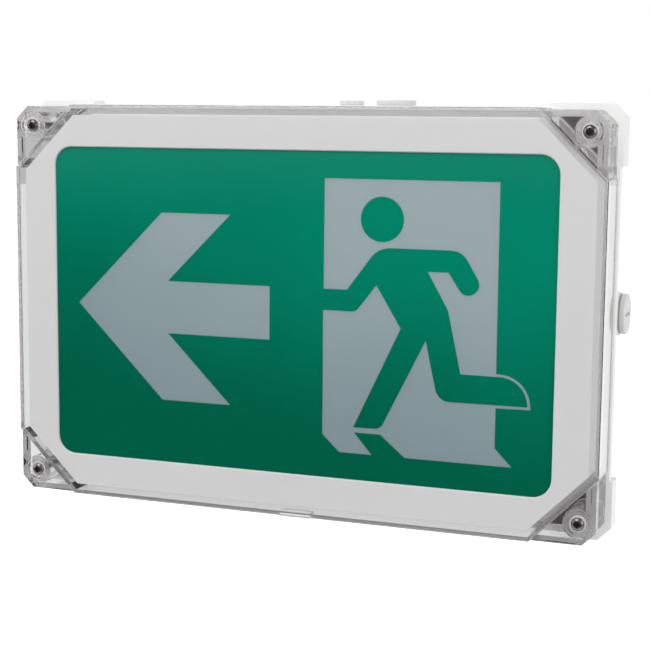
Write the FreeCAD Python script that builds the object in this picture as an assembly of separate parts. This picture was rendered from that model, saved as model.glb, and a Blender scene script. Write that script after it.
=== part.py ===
"""Weatherproof wall-mounted emergency exit light with a clear screwed cover.

A white moulded base holds the gear: control module, battery, terminals and a small board with
the test switch. Over it stand a lamp tray, an opal diffuser and the sign panel in a white frame.
A clear moulded cover with a screw boss in each corner pocket closes it on a rubber gasket.
"""
import FreeCAD, Part
import math
import os
from FreeCAD import Vector

# Millimetres. X runs across the sign, Z is up and Y points into the wall. The wall is the
# plane Y = 0, and a "stand-off" is a distance from the wall towards the reader, along -Y.

# --- modelling allowances
past = 1.0                   # cutting solids run past the faces they open by this
weld = 0.5                   # joined pieces sink into one another by this
tolerance = 1e-6             # two lengths this near are the same

# --- clear cover
cover_width = 392.0
cover_height = 258.0
cover_depth = 31.0           # seam to the front of the window
cover_wall = 2.5
window_thickness = 3.0
corner_relief = 1.0          # the corner blocks stand in from the straight sides by this
corner_chamfer = 8.0
corner_rim_drop = 1.5        # corner rims below the window front
cover_edge_round = 1.2
land_width = 3.2             # thickening of the skirt where it meets the gasket
land_height = 2.5
pocket_rim_x = 6.2           # corner pocket walls, from the corner block's outside
pocket_rim_z = 4.0
pocket_floor = 3.0
pry_lug_width = 21.0
pry_lug_height = 1.2
pry_lug_span = (4.0, 12.0)   # behind the window front
pry_notch_width = 10.5
pry_notch_span = (3.0, 7.0)
pry_offset = 2.5             # lug and notch stand a little right of the centre

# --- cover screws
screw_margin_x = 12.0        # screws in from the cover's sides
screw_margin_z = 13.5
boss_radius = 9.25
boss_drop = 3.0              # boss top below the window front
web_thickness = 2.4
washer_radius = 5.1
washer_thickness = 0.8
washer_recess = 1.0
cover_head_radius = 4.0
cover_head_height = 2.4
cover_screw_radius = 2.0
screw_hole_gap = 0.3         # radial gap round a screw in a plain hole
insert_radius = 2.9
insert_length = 8.0

# --- pan heads and shanks, as shares of their own sizes
pan_rim = 0.45               # straight rim, of the head's height
pan_bulge = (0.72, 0.88)     # point on the crown's arc, of the head's radius and height
screw_tip = 0.6              # radius at the tip, of the shank's
cross_share = 0.55           # cross slot's reach and depth, of the head's radius and height

# --- base
base_depth = 41.0            # wall to seam
base_inset = 6.0             # base walls stand in from the cover's sides
base_wall = 3.0
base_floor = 3.0
base_draft = 1.2             # how far the base narrows towards the wall, each side
base_edge_round = 2.0
flange_lip = 1.0             # flange outside the cover's sides
flange_thickness = 8.0
lobe_lip = 3.0               # corner lobes outside the cover's sides
lobe_thickness = 15.0
lobe_length_x = 42.0
lobe_length_z = 34.0
cell_wall = 1.6              # wall between the corner cell and the gasket recess
corner_ledge = 1.2           # base under the frame's diagonal walls, along the X and Z sum
gusset_thickness = 2.0
gusset_pitch = 62.0
gusset_end = 5.0             # gussets stop short of the corner lobes by at least this
floor_rib_height = 2.5
floor_rib_thickness = 1.6
floor_rib_pitch = 40.0
floor_rib_end = 5.0          # ribs stop short of the walls by this

# --- gasket
gasket_thickness = 2.0
gasket_setback = 2.0         # recess edge in from the cover's sides
gasket_gap = 0.8             # gasket recess outside the sign frame

# --- sign frame and the panels behind it
frame_margin = 6.5           # frame in from the cover's sides
frame_corner_cut = 36.0
frame_wall = 2.0
frame_face = 1.5
aperture_chamfer = 0.6
window_gap = 0.5             # air between the window and the frame
sign_margin_x = 28.5         # sign in from the cover's sides
sign_margin_z = 27.0
sign_corner_radius = 12.0
panel_lap = 5.0              # panels under the frame face, each side
panel_gap = 0.3              # play of the panels in the frame
panel_rebate_wall = 1.6
legend_thickness = 2.0
spacer_thickness = 3.5
spacer_width = 4.0
diffuser_thickness = 2.5
hook_width = 12.0
hook_thickness = 2.0
hook_reach = 7.0
hook_barb = 1.0
hook_margin = 86.0           # hooks in from the cover's left and right
hook_height = 8.0
barb_tip = 1.9               # from the hook's foot to the barb's tip and to its far side
barb_length = 2.4
diagonal_gap = 3.2           # air between the frame and the cover's diagonal walls

# --- lamp tray
tray_clearance = 2.7         # tray floor over the control module
tray_sheet = 0.8
tray_flange = 7.0
tray_slope = 10.0
tray_hole_radius = 2.2
tray_post_radius = 4.5
tray_post_margin = 39.0      # posts in from the base's inner sides
tray_post_offset = 16.0      # posts in from the outer lamp strips
strip_margin_x = 7.5         # lamp strips in from the edges of the tray floor
strip_margin_z = 32.0
strip_width = 14.0
strip_thickness = 1.6
strip_socket_width = 8.0
strip_socket_length = 5.0
strip_socket_height = 4.0
strip_socket_edge = 1.0
strip_screw_margin = 6.0
strip_screw_proud = 2.0      # past the tray's sheet
chip_margin = 17.0           # outermost chips in from the strip's ends
chip_size = 3.5
chip_height = 0.8
chips_per_strip = 12
small_head_radius = 2.8
small_head_height = 1.8
small_screw_radius = 1.5
small_screw_length = 9.0

# --- wall fixing and cable entries
fixing_margin_x = 46.0       # holes in from the cover's sides
fixing_margin_z = 27.0
fixing_hole_radius = 2.75
fixing_boss_radius = 7.0
fixing_boss_height = 5.0
grommet_wall = 1.5           # boss wall round the grommet
grommet_thickness = 2.0
rear_entry_x = -52.0
rear_entry_from_top = 86.0   # from the inner face of the top wall
rear_entry_radius = 10.25
rear_collar_wall = 2.0
rear_collar_height = 4.0
side_axis_offset = 0.5       # axes in the side walls above the middle of the free wall
entry_radius = 9.9
entry_boss_radius = 13.5
entry_boss_height = 6.0
entry_top_x = 50.0
entry_side_z = 5.0
plug_head_radius = 12.5
plug_head_height = 3.0
plug_length = 9.0
plug_bore_radius = 7.5
plug_edge_round = 0.8
plug_slot_width = 2.0
plug_slot_length = 15.0
plug_slot_depth = 1.4
bore_stop = 1.0              # bores of the plugs and the vent end this far inside the seal
thread_gap = 0.1
vent_x = 20.0
vent_radius = 5.9
vent_head_radius = 7.75
vent_head_height = 4.0
vent_boss_radius = 9.0
vent_wall = 2.5
vent_notches = 12
vent_notch_radius = 0.5
vent_notch_rise = 0.5        # notches start above the head's foot by this
seal_thickness = 1.5
seal_set_in = 0.5            # seals smaller in radius than the head over them

# --- control module
driver_x = -72.0
driver_from_bottom = 48.0    # from the inner face of the bottom wall
driver_length = 126.0
driver_width = 40.0
driver_height = 24.0
driver_wall = 1.8
driver_lid_thickness = 2.0
driver_board_rise = 5.0
socket_half = 5.0
socket_depth = 10.0
socket_height = 8.0
vent_slot_count = 9
vent_slot_pitch = 8.0
vent_slot_width = 2.4
board_thickness = 1.6
ear_length = 8.0
ear_thickness = 2.5
floor_screw_length = 6.5     # screws into the base floor
floor_boss_radius = 4.0
mains_socket_offset = -43.0  # sockets on the module's board, from its centre
lamp_socket_offset = 4.0
transformer_size = (24.0, 20.0, 14.0)
transformer_place = (-2.0, -4.0)
reservoir_radius = 6.0       # big capacitor
reservoir_height = 14.0
reservoir_place = (-30.0, -4.0)
output_radius = 4.0          # small capacitors
output_height = 12.0
output_places = [(28.0, -9.0), (39.0, -9.0)]
driver_corner_radius = 2.0
board_ledge = 1.5

# --- battery
battery_x = 80.0
battery_from_bottom = 38.5
cell_radius = 11.0
cell_length = 43.0
cell_count = 3
sleeve_groove_depth = 0.5
sleeve_groove_half = 0.8
sleeve_round = 1.5
battery_rise = 2.5           # lowest point of the cells over the base floor
clip_width = 12.0
clip_thickness = 1.0
clip_offset = 38.0
clip_foot_thickness = 1.5
clip_foot_reach = 16.0       # screw centre above the cells' axis
clip_foot_end = 4.0          # foot past the screw's centre
clip_mouth = 0.45            # start of the clip's mouth past the axis, of the cells' radius

# --- mains terminals and cable saddle
terminal_x = -105.0
terminal_from_top = 42.0
terminal_poles = 5
terminal_pitch = 9.0
terminal_width = 17.0
terminal_height = 14.0
terminal_ear = 8.0
terminal_screw_radius = 2.4
terminal_mouth_radius = 2.0
terminal_mouth_rise = 5.0    # wire mouths above the block's foot
terminal_shelf_height = 8.4
terminal_well_floor = 4.0
terminal_groove_width = 0.8
terminal_groove_depth = 3.5
terminal_screw_sunk = 1.0
terminal_slot_width = 0.8
terminal_slot_depth = 1.2
saddle_x = -52.0
saddle_from_top = 54.0
saddle_width = 26.0
saddle_thickness = 2.5
saddle_length = 9.0
saddle_post_height = 10.0
saddle_arch_radius = 5.5
saddle_arch_wall = 1.7
saddle_arch_drop = 1.5       # arch's axis behind the bar's foot

# --- test button, its switch and the charge lamp
button_x = 0.0
button_radius = 4.5
button_gap = 0.3
button_proud = 3.5
button_travel = 2.5
button_head_length = 10.0
button_edge_round = 1.2
stem_radius = 1.8
collar_radius = 3.0
collar_thickness = 0.8
collar_gap = 0.1             # collar to the barrel's end at rest
stem_tip = 0.2               # stem past the collar
barrel_radius = 7.0
barrel_length = 15.0
barrel_end_wall = 1.5
barrel_flange_radius = 10.5
barrel_flange_thickness = 2.0
barrel_edge_round = 0.8
button_pad_height = 0.8      # flat pad on the drafted wall under the button and the lens
button_pad_margin = 13.0
nut_across_flats = 18.0
nut_thickness = 3.0
spring_wire_radius = 0.3
spring_turns = 5
spring_radius = 3.2
spring_lean = 0.1            # lean of the wire's section, about the slope of its turns
switch_size = 6.0
switch_height = 3.6
plunger_radius = 1.75
plunger_height = 1.6
end_gap = 0.3                # stem to plunger with the button fully pressed
lens_x = 24.0
lens_radius = 3.0
lens_flange_radius = 4.5
lens_flange_thickness = 1.2
lens_length = 11.0
lens_edge_round = 0.9
lamp_radius = 2.5
lamp_height = 5.0
status_board_margin = 13.0
board_gap = 0.5              # status board over the floor ribs
rail_thickness = 4.0
rail_groove = 2.0
rail_cheek = 2.0

# --- inner leads
lead_radius = 1.5
lead_straight = 10.0         # straight run out of a socket
lead_hump = 3.0
bend_share = 0.45            # share of the shorter run beside a corner that its arc takes
battery_bends = (0.27, 0.5)  # bends of each lead, as shares of its run
lamp_bends = (0.4, 0.73)
mains_bends = (0.11, 0.31, 0.63, 0.85)

# --- derived places
window_front = base_depth + cover_depth
window_back = window_front - window_thickness
frame_front = window_back - window_gap
legend_front = frame_front - frame_face
legend_back = legend_front - legend_thickness
diffuser_front = legend_back - spacer_thickness
diffuser_back = diffuser_front - diffuser_thickness
tray_flange_back = diffuser_back - tray_sheet
gear_floor = base_floor + floor_rib_height
tray_floor_back = gear_floor + driver_height + driver_lid_thickness + tray_clearance
tray_floor_front = tray_floor_back + tray_sheet
strip_front = tray_floor_front + strip_thickness

half_width = cover_width / 2
half_height = cover_height / 2
frame_half_x = half_width - frame_margin
frame_half_z = half_height - frame_margin
frame_diagonal = frame_half_x + frame_half_z - frame_corner_cut
window_diagonal_in = frame_diagonal + diagonal_gap * math.sqrt(2)
window_diagonal = window_diagonal_in + cover_wall * math.sqrt(2)
base_half_x = half_width - base_inset
base_half_z = half_height - base_inset
cavity_half_x = base_half_x - base_wall
cavity_half_z = base_half_z - base_wall
frame_diagonal_in = frame_diagonal - frame_wall * math.sqrt(2)
cavity_diagonal = frame_diagonal_in - corner_ledge
recess_half_x = frame_half_x + gasket_gap
recess_half_z = frame_half_z + gasket_gap
recess_diagonal = frame_diagonal + gasket_gap * math.sqrt(2)
cell_diagonal = recess_diagonal + cell_wall * math.sqrt(2)
gasket_half_x = half_width - gasket_setback
gasket_half_z = half_height - gasket_setback
gasket_back = base_depth - gasket_thickness
corner_half_x = half_width - corner_relief
corner_half_z = half_height - corner_relief
pocket_reach_x = corner_half_x - pocket_rim_x
pocket_reach_z = corner_half_z - pocket_rim_z
screw_x = half_width - screw_margin_x
screw_z = half_height - screw_margin_z
boss_top = window_front - boss_drop
washer_seat = boss_top - washer_recess
cover_screw_length = washer_seat + washer_thickness - base_depth + insert_length
sign_half_x = half_width - sign_margin_x
sign_half_z = half_height - sign_margin_z
panel_half_x = sign_half_x + panel_lap
panel_half_z = sign_half_z + panel_lap
pocket_half_x = panel_half_x + panel_gap
pocket_half_z = panel_half_z + panel_gap
panel_diagonal = frame_diagonal_in - panel_gap * math.sqrt(2)
entry_stand_off = (base_depth - flange_thickness) / 2 + side_axis_offset
button_stand_off = entry_stand_off
status_board_depth = 2 * (button_stand_off - gear_floor - board_gap)
tray_mouth_x = panel_half_x - tray_flange
tray_mouth_z = panel_half_z - tray_flange
tray_floor_x = tray_mouth_x - tray_slope
tray_floor_z = tray_mouth_z - tray_slope
strip_length = 2 * (tray_floor_x - strip_margin_x)
strip_pitch = tray_floor_z - strip_margin_z
tray_post_x = cavity_half_x - tray_post_margin
tray_post_z = strip_pitch - tray_post_offset
hook_x = half_width - hook_margin
fixing_x = half_width - fixing_margin_x
fixing_z = half_height - fixing_margin_z
rear_entry_z = cavity_half_z - rear_entry_from_top
driver_z = driver_from_bottom - cavity_half_z
battery_z = battery_from_bottom - cavity_half_z
terminal_z = cavity_half_z - terminal_from_top
saddle_z = cavity_half_z - saddle_from_top
saddle_seat = base_floor + saddle_post_height + saddle_thickness
grommet_seat = base_floor + fixing_boss_height - grommet_thickness
driver_board_back = gear_floor + driver_board_rise
driver_board_front = driver_board_back + board_thickness
lead_height = driver_board_front + socket_height / 2
terminal_mouth = gear_floor + terminal_mouth_rise
wall_out = base_half_z + button_pad_height
barrel_seat = wall_out + seal_thickness
barrel_inner_end = barrel_seat - barrel_length
button_tip = barrel_seat + barrel_flange_thickness + button_proud
button_shoulder = button_tip - button_head_length
collar_end = barrel_inner_end - collar_gap - collar_thickness
stem_end = collar_end - stem_tip
board_z = -(stem_end - button_travel - end_gap - plunger_height - switch_height)


def same(a, b):
    """True for two equal lengths, but for rounding."""
    return abs(a - b) < tolerance


def signs():
    """The four corners as pairs of signs."""
    return [(sx, sz) for sx in (-1, 1) for sz in (-1, 1)]


def cut_rectangle(half_x, half_z, diagonal):
    """Outline of a rectangle whose corners are cut at 45 degrees, where |x| + |z| = diagonal."""
    near_x = diagonal - half_z
    near_z = diagonal - half_x
    return [(near_x, -half_z), (half_x, -near_z), (half_x, near_z), (near_x, half_z),
            (-near_x, half_z), (-half_x, near_z), (-half_x, -near_z), (-near_x, -half_z)]


def chamfered(half_x, half_z, leg):
    """Outline of a rectangle with small 45 degree corner chamfers."""
    return cut_rectangle(half_x, half_z, half_x + half_z - leg)


def wire_at(points, stand_off):
    """Closed wire over an outline, at a stand-off from the wall."""
    return Part.makePolygon([Vector(x, -stand_off, z) for x, z in points + points[:1]])


def prism(points, low, high):
    """Solid over an outline, between two stand-offs."""
    return Part.Face(wire_at(points, low)).extrude(Vector(0, low - high, 0))


def tapered(low_points, high_points, low, high):
    """Solid between two like outlines at two stand-offs."""
    return Part.makeLoft([wire_at(low_points, low), wire_at(high_points, high)], True, True)


def block(x0, x1, z0, z1, low, high):
    """Box between two X, two Z and two stand-offs."""
    return Part.makeBox(x1 - x0, high - low, z1 - z0, Vector(x0, -high, z0))


def round_corners(solid, radius):
    """The solid with its edges along Y rounded."""
    return solid.makeFillet(radius, [e for e in solid.Edges if not same(e.Vertexes[0].Y, e.Vertexes[1].Y)])


def round_lower_rim(solid, distance, radius):
    """The solid with the edges that lie at a distance below the origin rounded."""
    rims = [e for e in solid.Edges if same(e.BoundBox.ZMin, -distance) and same(e.BoundBox.ZMax, -distance)]
    return solid.makeFillet(radius, rims)


def post(x, z, radius, low, high):
    """Cylinder that stands off from the wall."""
    return Part.makeCylinder(radius, high - low, Vector(x, -low, z), Vector(0, -1, 0))


def rod(point, direction, radius, start, end):
    """Cylinder on an axis through a point, between two distances along it."""
    axis = Vector(*direction)
    return Part.makeCylinder(radius, end - start, Vector(*point) + axis * start, axis)


def ring(point, direction, outer, inner, start, end):
    """Tube on an axis through a point."""
    return rod(point, direction, outer, start, end).cut(rod(point, direction, inner, start, end))


def fuse(solids):
    """One solid from several."""
    return solids[0].multiFuse(solids[1:]).removeSplitter()


def export(name, shape):
    """Write one sub-part."""
    shape.exportStep("parts/%s.step" % name)


def cross_recess(x, z, top, size, depth):
    """Cross slot for a screwdriver, sunk into a head whose top is at a stand-off."""
    arm = size / 4
    flat = block(x - size, x + size, z - arm, z + arm, top - depth, top + past)
    tall = block(x - arm, x + arm, z - size, z + size, top - depth, top + past)
    return flat.fuse(tall)


def pan_screw(x, z, seat, head_radius, head_height, shank_radius, length):
    """Pan-head screw that points at the wall, its head resting at the seat's stand-off."""
    shoulder = Vector(head_radius, head_height * pan_rim, 0)
    crown = Vector(0, head_height, 0)
    bulge = Vector(head_radius * pan_bulge[0], head_height * pan_bulge[1], 0)
    tip = Vector(shank_radius * screw_tip, -length, 0)
    profile = Part.Wire([
        Part.makeLine(Vector(0, -length, 0), tip),
        Part.makeLine(tip, Vector(shank_radius, -length + shank_radius, 0)),
        Part.makeLine(Vector(shank_radius, -length + shank_radius, 0), Vector(shank_radius, 0, 0)),
        Part.makeLine(Vector(shank_radius, 0, 0), Vector(head_radius, 0, 0)),
        Part.makeLine(Vector(head_radius, 0, 0), shoulder),
        Part.Arc(shoulder, bulge, crown).toShape(),
        Part.makeLine(crown, Vector(0, -length, 0)),
    ])
    screw = Part.Face(profile).revolve(Vector(0, 0, 0), Vector(0, 1, 0), 360)
    screw.rotate(Vector(0, 0, 0), Vector(0, 0, 1), 180)
    screw.translate(Vector(x, -seat, z))
    return screw.cut(cross_recess(x, z, seat + head_height, head_radius * cross_share,
                                  head_height * cross_share))


def small_screws(places, seat, length):
    """Group of like small screws at (x, z) places."""
    return Part.makeCompound([
        pan_screw(x, z, seat, small_head_radius, small_head_height, small_screw_radius, length)
        for x, z in places])


# ------------------------------------------------------------------ clear cover

def corner_pocket(sx, sz):
    """Space of one open corner pocket, with its screw boss and web left standing."""
    corner = [(sx * (window_diagonal - pocket_reach_z), sz * pocket_reach_z),
              (sx * pocket_reach_x, sz * pocket_reach_z),
              (sx * pocket_reach_x, sz * (window_diagonal - pocket_reach_x))]
    space = prism(corner, base_depth + pocket_floor, window_front + past)
    boss = post(sx * screw_x, sz * screw_z, boss_radius, base_depth, boss_top)
    foot = (screw_x + screw_z - window_diagonal) / 2 + weld
    side = web_thickness / (2 * math.sqrt(2))
    web = [(sx * (screw_x + side), sz * (screw_z - side)), (sx * (screw_x - side), sz * (screw_z + side)),
           (sx * (screw_x - foot - side), sz * (screw_z - foot + side)),
           (sx * (screw_x - foot + side), sz * (screw_z - foot - side))]
    web = prism(web, base_depth, boss_top)
    return space.cut(boss).cut(web)


def make_clear_cover():
    window = prism(cut_rectangle(half_width, half_height, window_diagonal), base_depth, window_front)
    corners = prism(chamfered(corner_half_x, corner_half_z, corner_chamfer),
                    base_depth, window_front - corner_rim_drop)
    front_edges = [e for e in window.Edges
                   if all(same(v.Y, -window_front) for v in e.Vertexes)]
    window = window.makeFillet(cover_edge_round, front_edges)
    lug = block(pry_offset - pry_lug_width / 2, pry_offset + pry_lug_width / 2,
                -half_height - pry_lug_height, -half_height + cover_wall / 2,
                window_front - pry_lug_span[1], window_front - pry_lug_span[0])
    body = fuse([window, corners, lug])
    hollow = prism(cut_rectangle(half_width - cover_wall, half_height - cover_wall, window_diagonal_in),
                   base_depth + land_height, window_back)
    throat = prism(cut_rectangle(half_width - cover_wall - land_width, half_height - cover_wall - land_width,
                                 window_diagonal_in), base_depth - past, window_back)
    notch = block(pry_offset - pry_notch_width / 2, pry_offset + pry_notch_width / 2,
                  half_height - cover_wall / 2, half_height + past,
                  window_front - pry_notch_span[1], window_front - pry_notch_span[0])
    body = body.cut(hollow).cut(throat).cut(notch)
    for sx, sz in signs():
        hole = post(sx * screw_x, sz * screw_z, cover_screw_radius + screw_hole_gap,
                    base_depth - past, window_front)
        seat = post(sx * screw_x, sz * screw_z, washer_radius + screw_hole_gap, washer_seat, window_front)
        body = body.cut(corner_pocket(sx, sz)).cut(hole).cut(seat)
    return body


def make_cover_screws():
    return Part.makeCompound([
        pan_screw(x, z, washer_seat + washer_thickness, cover_head_radius, cover_head_height,
                  cover_screw_radius, cover_screw_length) for x, z in cover_screw_places()])


def make_cover_washers():
    return Part.makeCompound([
        ring((x, 0, z), (0, -1, 0), washer_radius, cover_screw_radius,
             washer_seat, washer_seat + washer_thickness) for x, z in cover_screw_places()])


def make_cover_inserts():
    return Part.makeCompound([
        ring((x, 0, z), (0, -1, 0), insert_radius, cover_screw_radius,
             base_depth - insert_length, base_depth) for x, z in cover_screw_places()])


# ------------------------------------------------------------------ gasket

def gasket_space(low, high, pillar_gap):
    """Space of the gasket: an eight-sided seal under the window's walls, with a pad in each corner."""
    pad_diagonal = screw_x + screw_z + boss_radius
    space = fuse([prism(cut_rectangle(gasket_half_x, gasket_half_z, window_diagonal), low, high),
                  prism(cut_rectangle(pocket_reach_x, pocket_reach_z, pad_diagonal), low, high)])
    for x, z in cover_screw_places():
        space = space.cut(post(x, z, boss_radius + pillar_gap, low - past, high + past))
    inside = prism(cut_rectangle(recess_half_x, recess_half_z, recess_diagonal), low - past, high + past)
    return space.cut(inside)


def make_cover_gasket():
    return gasket_space(gasket_back, base_depth, screw_hole_gap)


# ------------------------------------------------------------------ base

def base_shell():
    """Drafted tray with its seam flange and corner lobes, before it is hollowed."""
    flange_back = base_depth - flange_thickness
    rear = chamfered(base_half_x - base_draft, base_half_z - base_draft, corner_chamfer)
    front = chamfered(base_half_x, base_half_z, corner_chamfer)
    body = tapered(rear, front, 0, flange_back)
    rear_edges = [e for e in body.Edges if all(same(v.Y, 0) for v in e.Vertexes)]
    body = body.makeFillet(base_edge_round, rear_edges)
    flange = prism(chamfered(half_width + flange_lip, half_height + flange_lip, corner_chamfer),
                   flange_back, base_depth)
    lobes = prism(chamfered(half_width + lobe_lip, half_height + lobe_lip, corner_chamfer),
                  base_depth - lobe_thickness, base_depth)
    pieces = [body, flange]
    for sx, sz in signs():
        x0, x1 = sorted((sx * (half_width - lobe_length_x), sx * (half_width + lobe_lip + past)))
        z0, z1 = sorted((sz * (half_height - lobe_length_z), sz * (half_height + lobe_lip + past)))
        pieces.append(lobes.common(block(x0, x1, z0, z1, 0, base_depth + past)))
    return pieces


def gusset(corners, along):
    """Thin triangular gusset, its thickness centred on its corners."""
    shift = along * (gusset_thickness / 2)
    return Part.Face(Part.makePolygon([c - shift for c in corners + corners[:1]])).extrude(shift * 2)


def base_gussets():
    """Gussets under the overhanging flange, none of them in the middle of a side."""
    low = base_depth - flange_thickness - base_inset
    high = base_depth - flange_thickness
    foot_x, tip_x = base_half_x - base_wall / 2, half_width + flange_lip
    foot_z, tip_z = base_half_z - base_wall / 2, half_height + flange_lip
    count = int((half_width - lobe_length_x - gusset_end) / gusset_pitch + 0.5)
    gussets = []
    for side in (-1, 1):
        for i in range(-count, count):
            x = (i + 0.5) * gusset_pitch
            gussets.append(gusset([Vector(x, -low, side * foot_z), Vector(x, -high, side * tip_z),
                                   Vector(x, -high, side * foot_z)], Vector(1, 0, 0)))
        for z in (-gusset_pitch, gusset_pitch):
            gussets.append(gusset([Vector(side * foot_x, -low, z), Vector(side * tip_x, -high, z),
                                   Vector(side * foot_x, -high, z)], Vector(0, 0, 1)))
    return gussets


def corner_cell(sx, sz):
    """Hollow in one corner of the base, outside its diagonal wall and round the screw's pillar."""
    corner = [(sx * (cell_diagonal - cavity_half_z), sz * cavity_half_z),
              (sx * cavity_half_x, sz * cavity_half_z),
              (sx * cavity_half_x, sz * (cell_diagonal - cavity_half_x))]
    pillar = post(sx * screw_x, sz * screw_z, boss_radius, 0, base_depth)
    return prism(corner, base_floor, gasket_back + past).cut(pillar)


def entry_axes():
    """Cable entries in the side walls: name, point on the axis, outward direction, face distance."""
    face_x = base_half_x + entry_boss_height
    face_z = base_half_z + entry_boss_height
    return [("top", (entry_top_x, -entry_stand_off, 0), (0, 0, 1), face_z),
            ("left", (0, -entry_stand_off, entry_side_z), (-1, 0, 0), face_x),
            ("right", (0, -entry_stand_off, entry_side_z), (1, 0, 0), face_x)]


def floor_ribs():
    """Low grid of stiffening ribs on the inside of the base floor."""
    reach_x = cavity_half_x - floor_rib_end
    reach_z = cavity_half_z - floor_rib_end
    count_x = int(reach_x // floor_rib_pitch)
    count_z = int(reach_z // floor_rib_pitch)
    half = floor_rib_thickness / 2
    ribs = []
    for i in range(-count_x, count_x + 1):
        x = i * floor_rib_pitch
        ribs.append(block(x - half, x + half, -reach_z, reach_z, base_floor / 2, gear_floor))
    for i in range(-count_z, count_z + 1):
        z = i * floor_rib_pitch
        ribs.append(block(-reach_x, reach_x, z - half, z + half, base_floor / 2, gear_floor))
    return ribs


def board_rails():
    """Two grooved rails that hold the status board's ends."""
    low = base_floor / 2
    high = button_stand_off + status_board_depth / 2
    x_left = button_x - status_board_margin
    x_right = lens_x + status_board_margin
    rails = []
    for x, side in ((x_left, 1), (x_right, -1)):
        x0, x1 = sorted((x + side * rail_groove, x + side * (rail_groove - rail_thickness)))
        rail = block(x0, x1, board_z - rail_cheek, board_z + board_thickness + rail_cheek, low, high)
        g0, g1 = sorted((x, x + side * (rail_groove + past)))
        groove = block(g0, g1, board_z, board_z + board_thickness,
                       button_stand_off - status_board_depth / 2, high + past)
        rails.append(rail.cut(groove))
    return rails


def driver_ears():
    """Screw places of the control module."""
    reach = driver_length / 2 + ear_length / 2
    return [(driver_x - reach, driver_z), (driver_x + reach, driver_z)]


def terminal_ears():
    """Screw places of the terminal block."""
    reach = terminal_poles * terminal_pitch / 2 + terminal_ear / 2
    return [(terminal_x - reach, terminal_z), (terminal_x + reach, terminal_z)]


def clip_screw_places():
    """Screw places of the battery clips, above the cells."""
    return [(x, z + clip_foot_reach) for x, z in clip_places()]


def floor_screw_seats():
    """Places and seats of every screw that goes into the base floor."""
    seats = [(x, z, gear_floor + ear_thickness) for x, z in driver_ears() + terminal_ears()]
    return seats + [(x, z, gear_floor + clip_foot_thickness) for x, z in clip_screw_places()]


def cover_screw_places():
    """Screw places of the clear cover."""
    return [(sx * screw_x, sz * screw_z) for sx, sz in signs()]


def fixing_places():
    """Wall-fixing holes."""
    return [(sx * fixing_x, sz * fixing_z) for sx, sz in signs()]


def saddle_places():
    """Screw places of the cable saddle."""
    reach = saddle_width / 2 - saddle_length / 2
    return [(saddle_x - reach, saddle_z), (saddle_x + reach, saddle_z)]


def tray_places():
    """Screw places of the lamp tray."""
    return [(sx * tray_post_x, sz * tray_post_z) for sx, sz in signs()]


def base_outside():
    """Solid outside of the base, with its bosses and pads."""
    pieces = base_shell() + base_gussets()
    for name, point, direction, face in entry_axes():
        foot = face - entry_boss_height - base_wall / 2
        pieces.append(rod(point, direction, entry_boss_radius, foot, face))
    point, direction, face = vent_line()
    pieces.append(rod(point, direction, vent_boss_radius, base_half_z - base_wall / 2, face))
    pieces.append(block(button_x - button_pad_margin, lens_x + button_pad_margin, -wall_out,
                        -cavity_half_z - base_wall / 2, button_stand_off - button_pad_margin,
                        button_stand_off + button_pad_margin))
    return fuse(pieces)


def base_details():
    """Ribs, posts and rails that stand on the inside of the base floor."""
    rib_zone = prism(cut_rectangle(cavity_half_x, cavity_half_z, cavity_diagonal - floor_rib_end),
                     0, base_depth)
    details = [rib.common(rib_zone) for rib in floor_ribs()] + board_rails()
    details += [post(x, z, tray_post_radius, base_floor / 2, tray_floor_back) for x, z in tray_places()]
    details += [post(x, z, fixing_boss_radius, base_floor / 2, base_floor + fixing_boss_height)
                for x, z in fixing_places()]
    details.append(post(rear_entry_x, rear_entry_z, rear_entry_radius + rear_collar_wall,
                        base_floor / 2, base_floor + rear_collar_height))
    details += [post(x, z, floor_boss_radius, base_floor / 2, gear_floor)
                for x, z, seat in floor_screw_seats()]
    details += [post(x, z, tray_post_radius, base_floor / 2, base_floor + saddle_post_height)
                for x, z in saddle_places()]
    return details


def base_openings():
    """Holes through the base: wall fixings, cable entries, vent, test button and charge lens."""
    holes = [post(x, z, fixing_hole_radius, -past, base_depth) for x, z in fixing_places()]
    holes += [post(x, z, fixing_boss_radius - grommet_wall, grommet_seat, base_depth)
              for x, z in fixing_places()]
    holes.append(post(rear_entry_x, rear_entry_z, rear_entry_radius, -past, base_depth))
    for name, point, direction, face in entry_axes():
        inner = face - entry_boss_height - base_wall - past
        holes.append(rod(point, direction, entry_radius, inner, face + past))
    point, direction, face = vent_line()
    holes.append(rod(point, direction, vent_radius, cavity_half_z - past, face + past))
    for x, radius in ((button_x, barrel_radius), (lens_x, lens_radius)):
        point, direction = down(x)
        holes.append(rod(point, direction, radius + thread_gap, cavity_half_z - past, half_height))
    return holes


def base_screw_holes():
    """Pilot holes of every screw that goes into the base, and the frame's hook recesses."""
    holes = []
    for x, z in cover_screw_places():
        holes.append(post(x, z, insert_radius, base_depth - insert_length, base_depth + past))
        holes.append(post(x, z, cover_screw_radius + screw_hole_gap, base_floor, base_depth))
    seats = [(x, z, tray_floor_front, small_screw_length) for x, z in tray_places()]
    seats += [(x, z, saddle_seat, small_screw_length) for x, z in saddle_places()]
    seats += [(x, z, seat, floor_screw_length) for x, z, seat in floor_screw_seats()]
    holes += [post(x, z, small_screw_radius, seat - length, base_depth) for x, z, seat, length in seats]
    return holes + [hook_recess(hook) for hook in hook_places()]


def make_base_housing():
    body = base_outside()
    cavity = prism(cut_rectangle(cavity_half_x, cavity_half_z, cavity_diagonal),
                   base_floor, base_depth + past)
    body = body.cut(cavity).cut(gasket_space(gasket_back, base_depth + past, 0))
    for sx, sz in signs():
        body = body.cut(corner_cell(sx, sz))
    body = fuse([body] + base_details())
    for hole in base_openings() + base_screw_holes():
        body = body.cut(hole)
    return body


# ------------------------------------------------------------------ sign frame and panels

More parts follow.
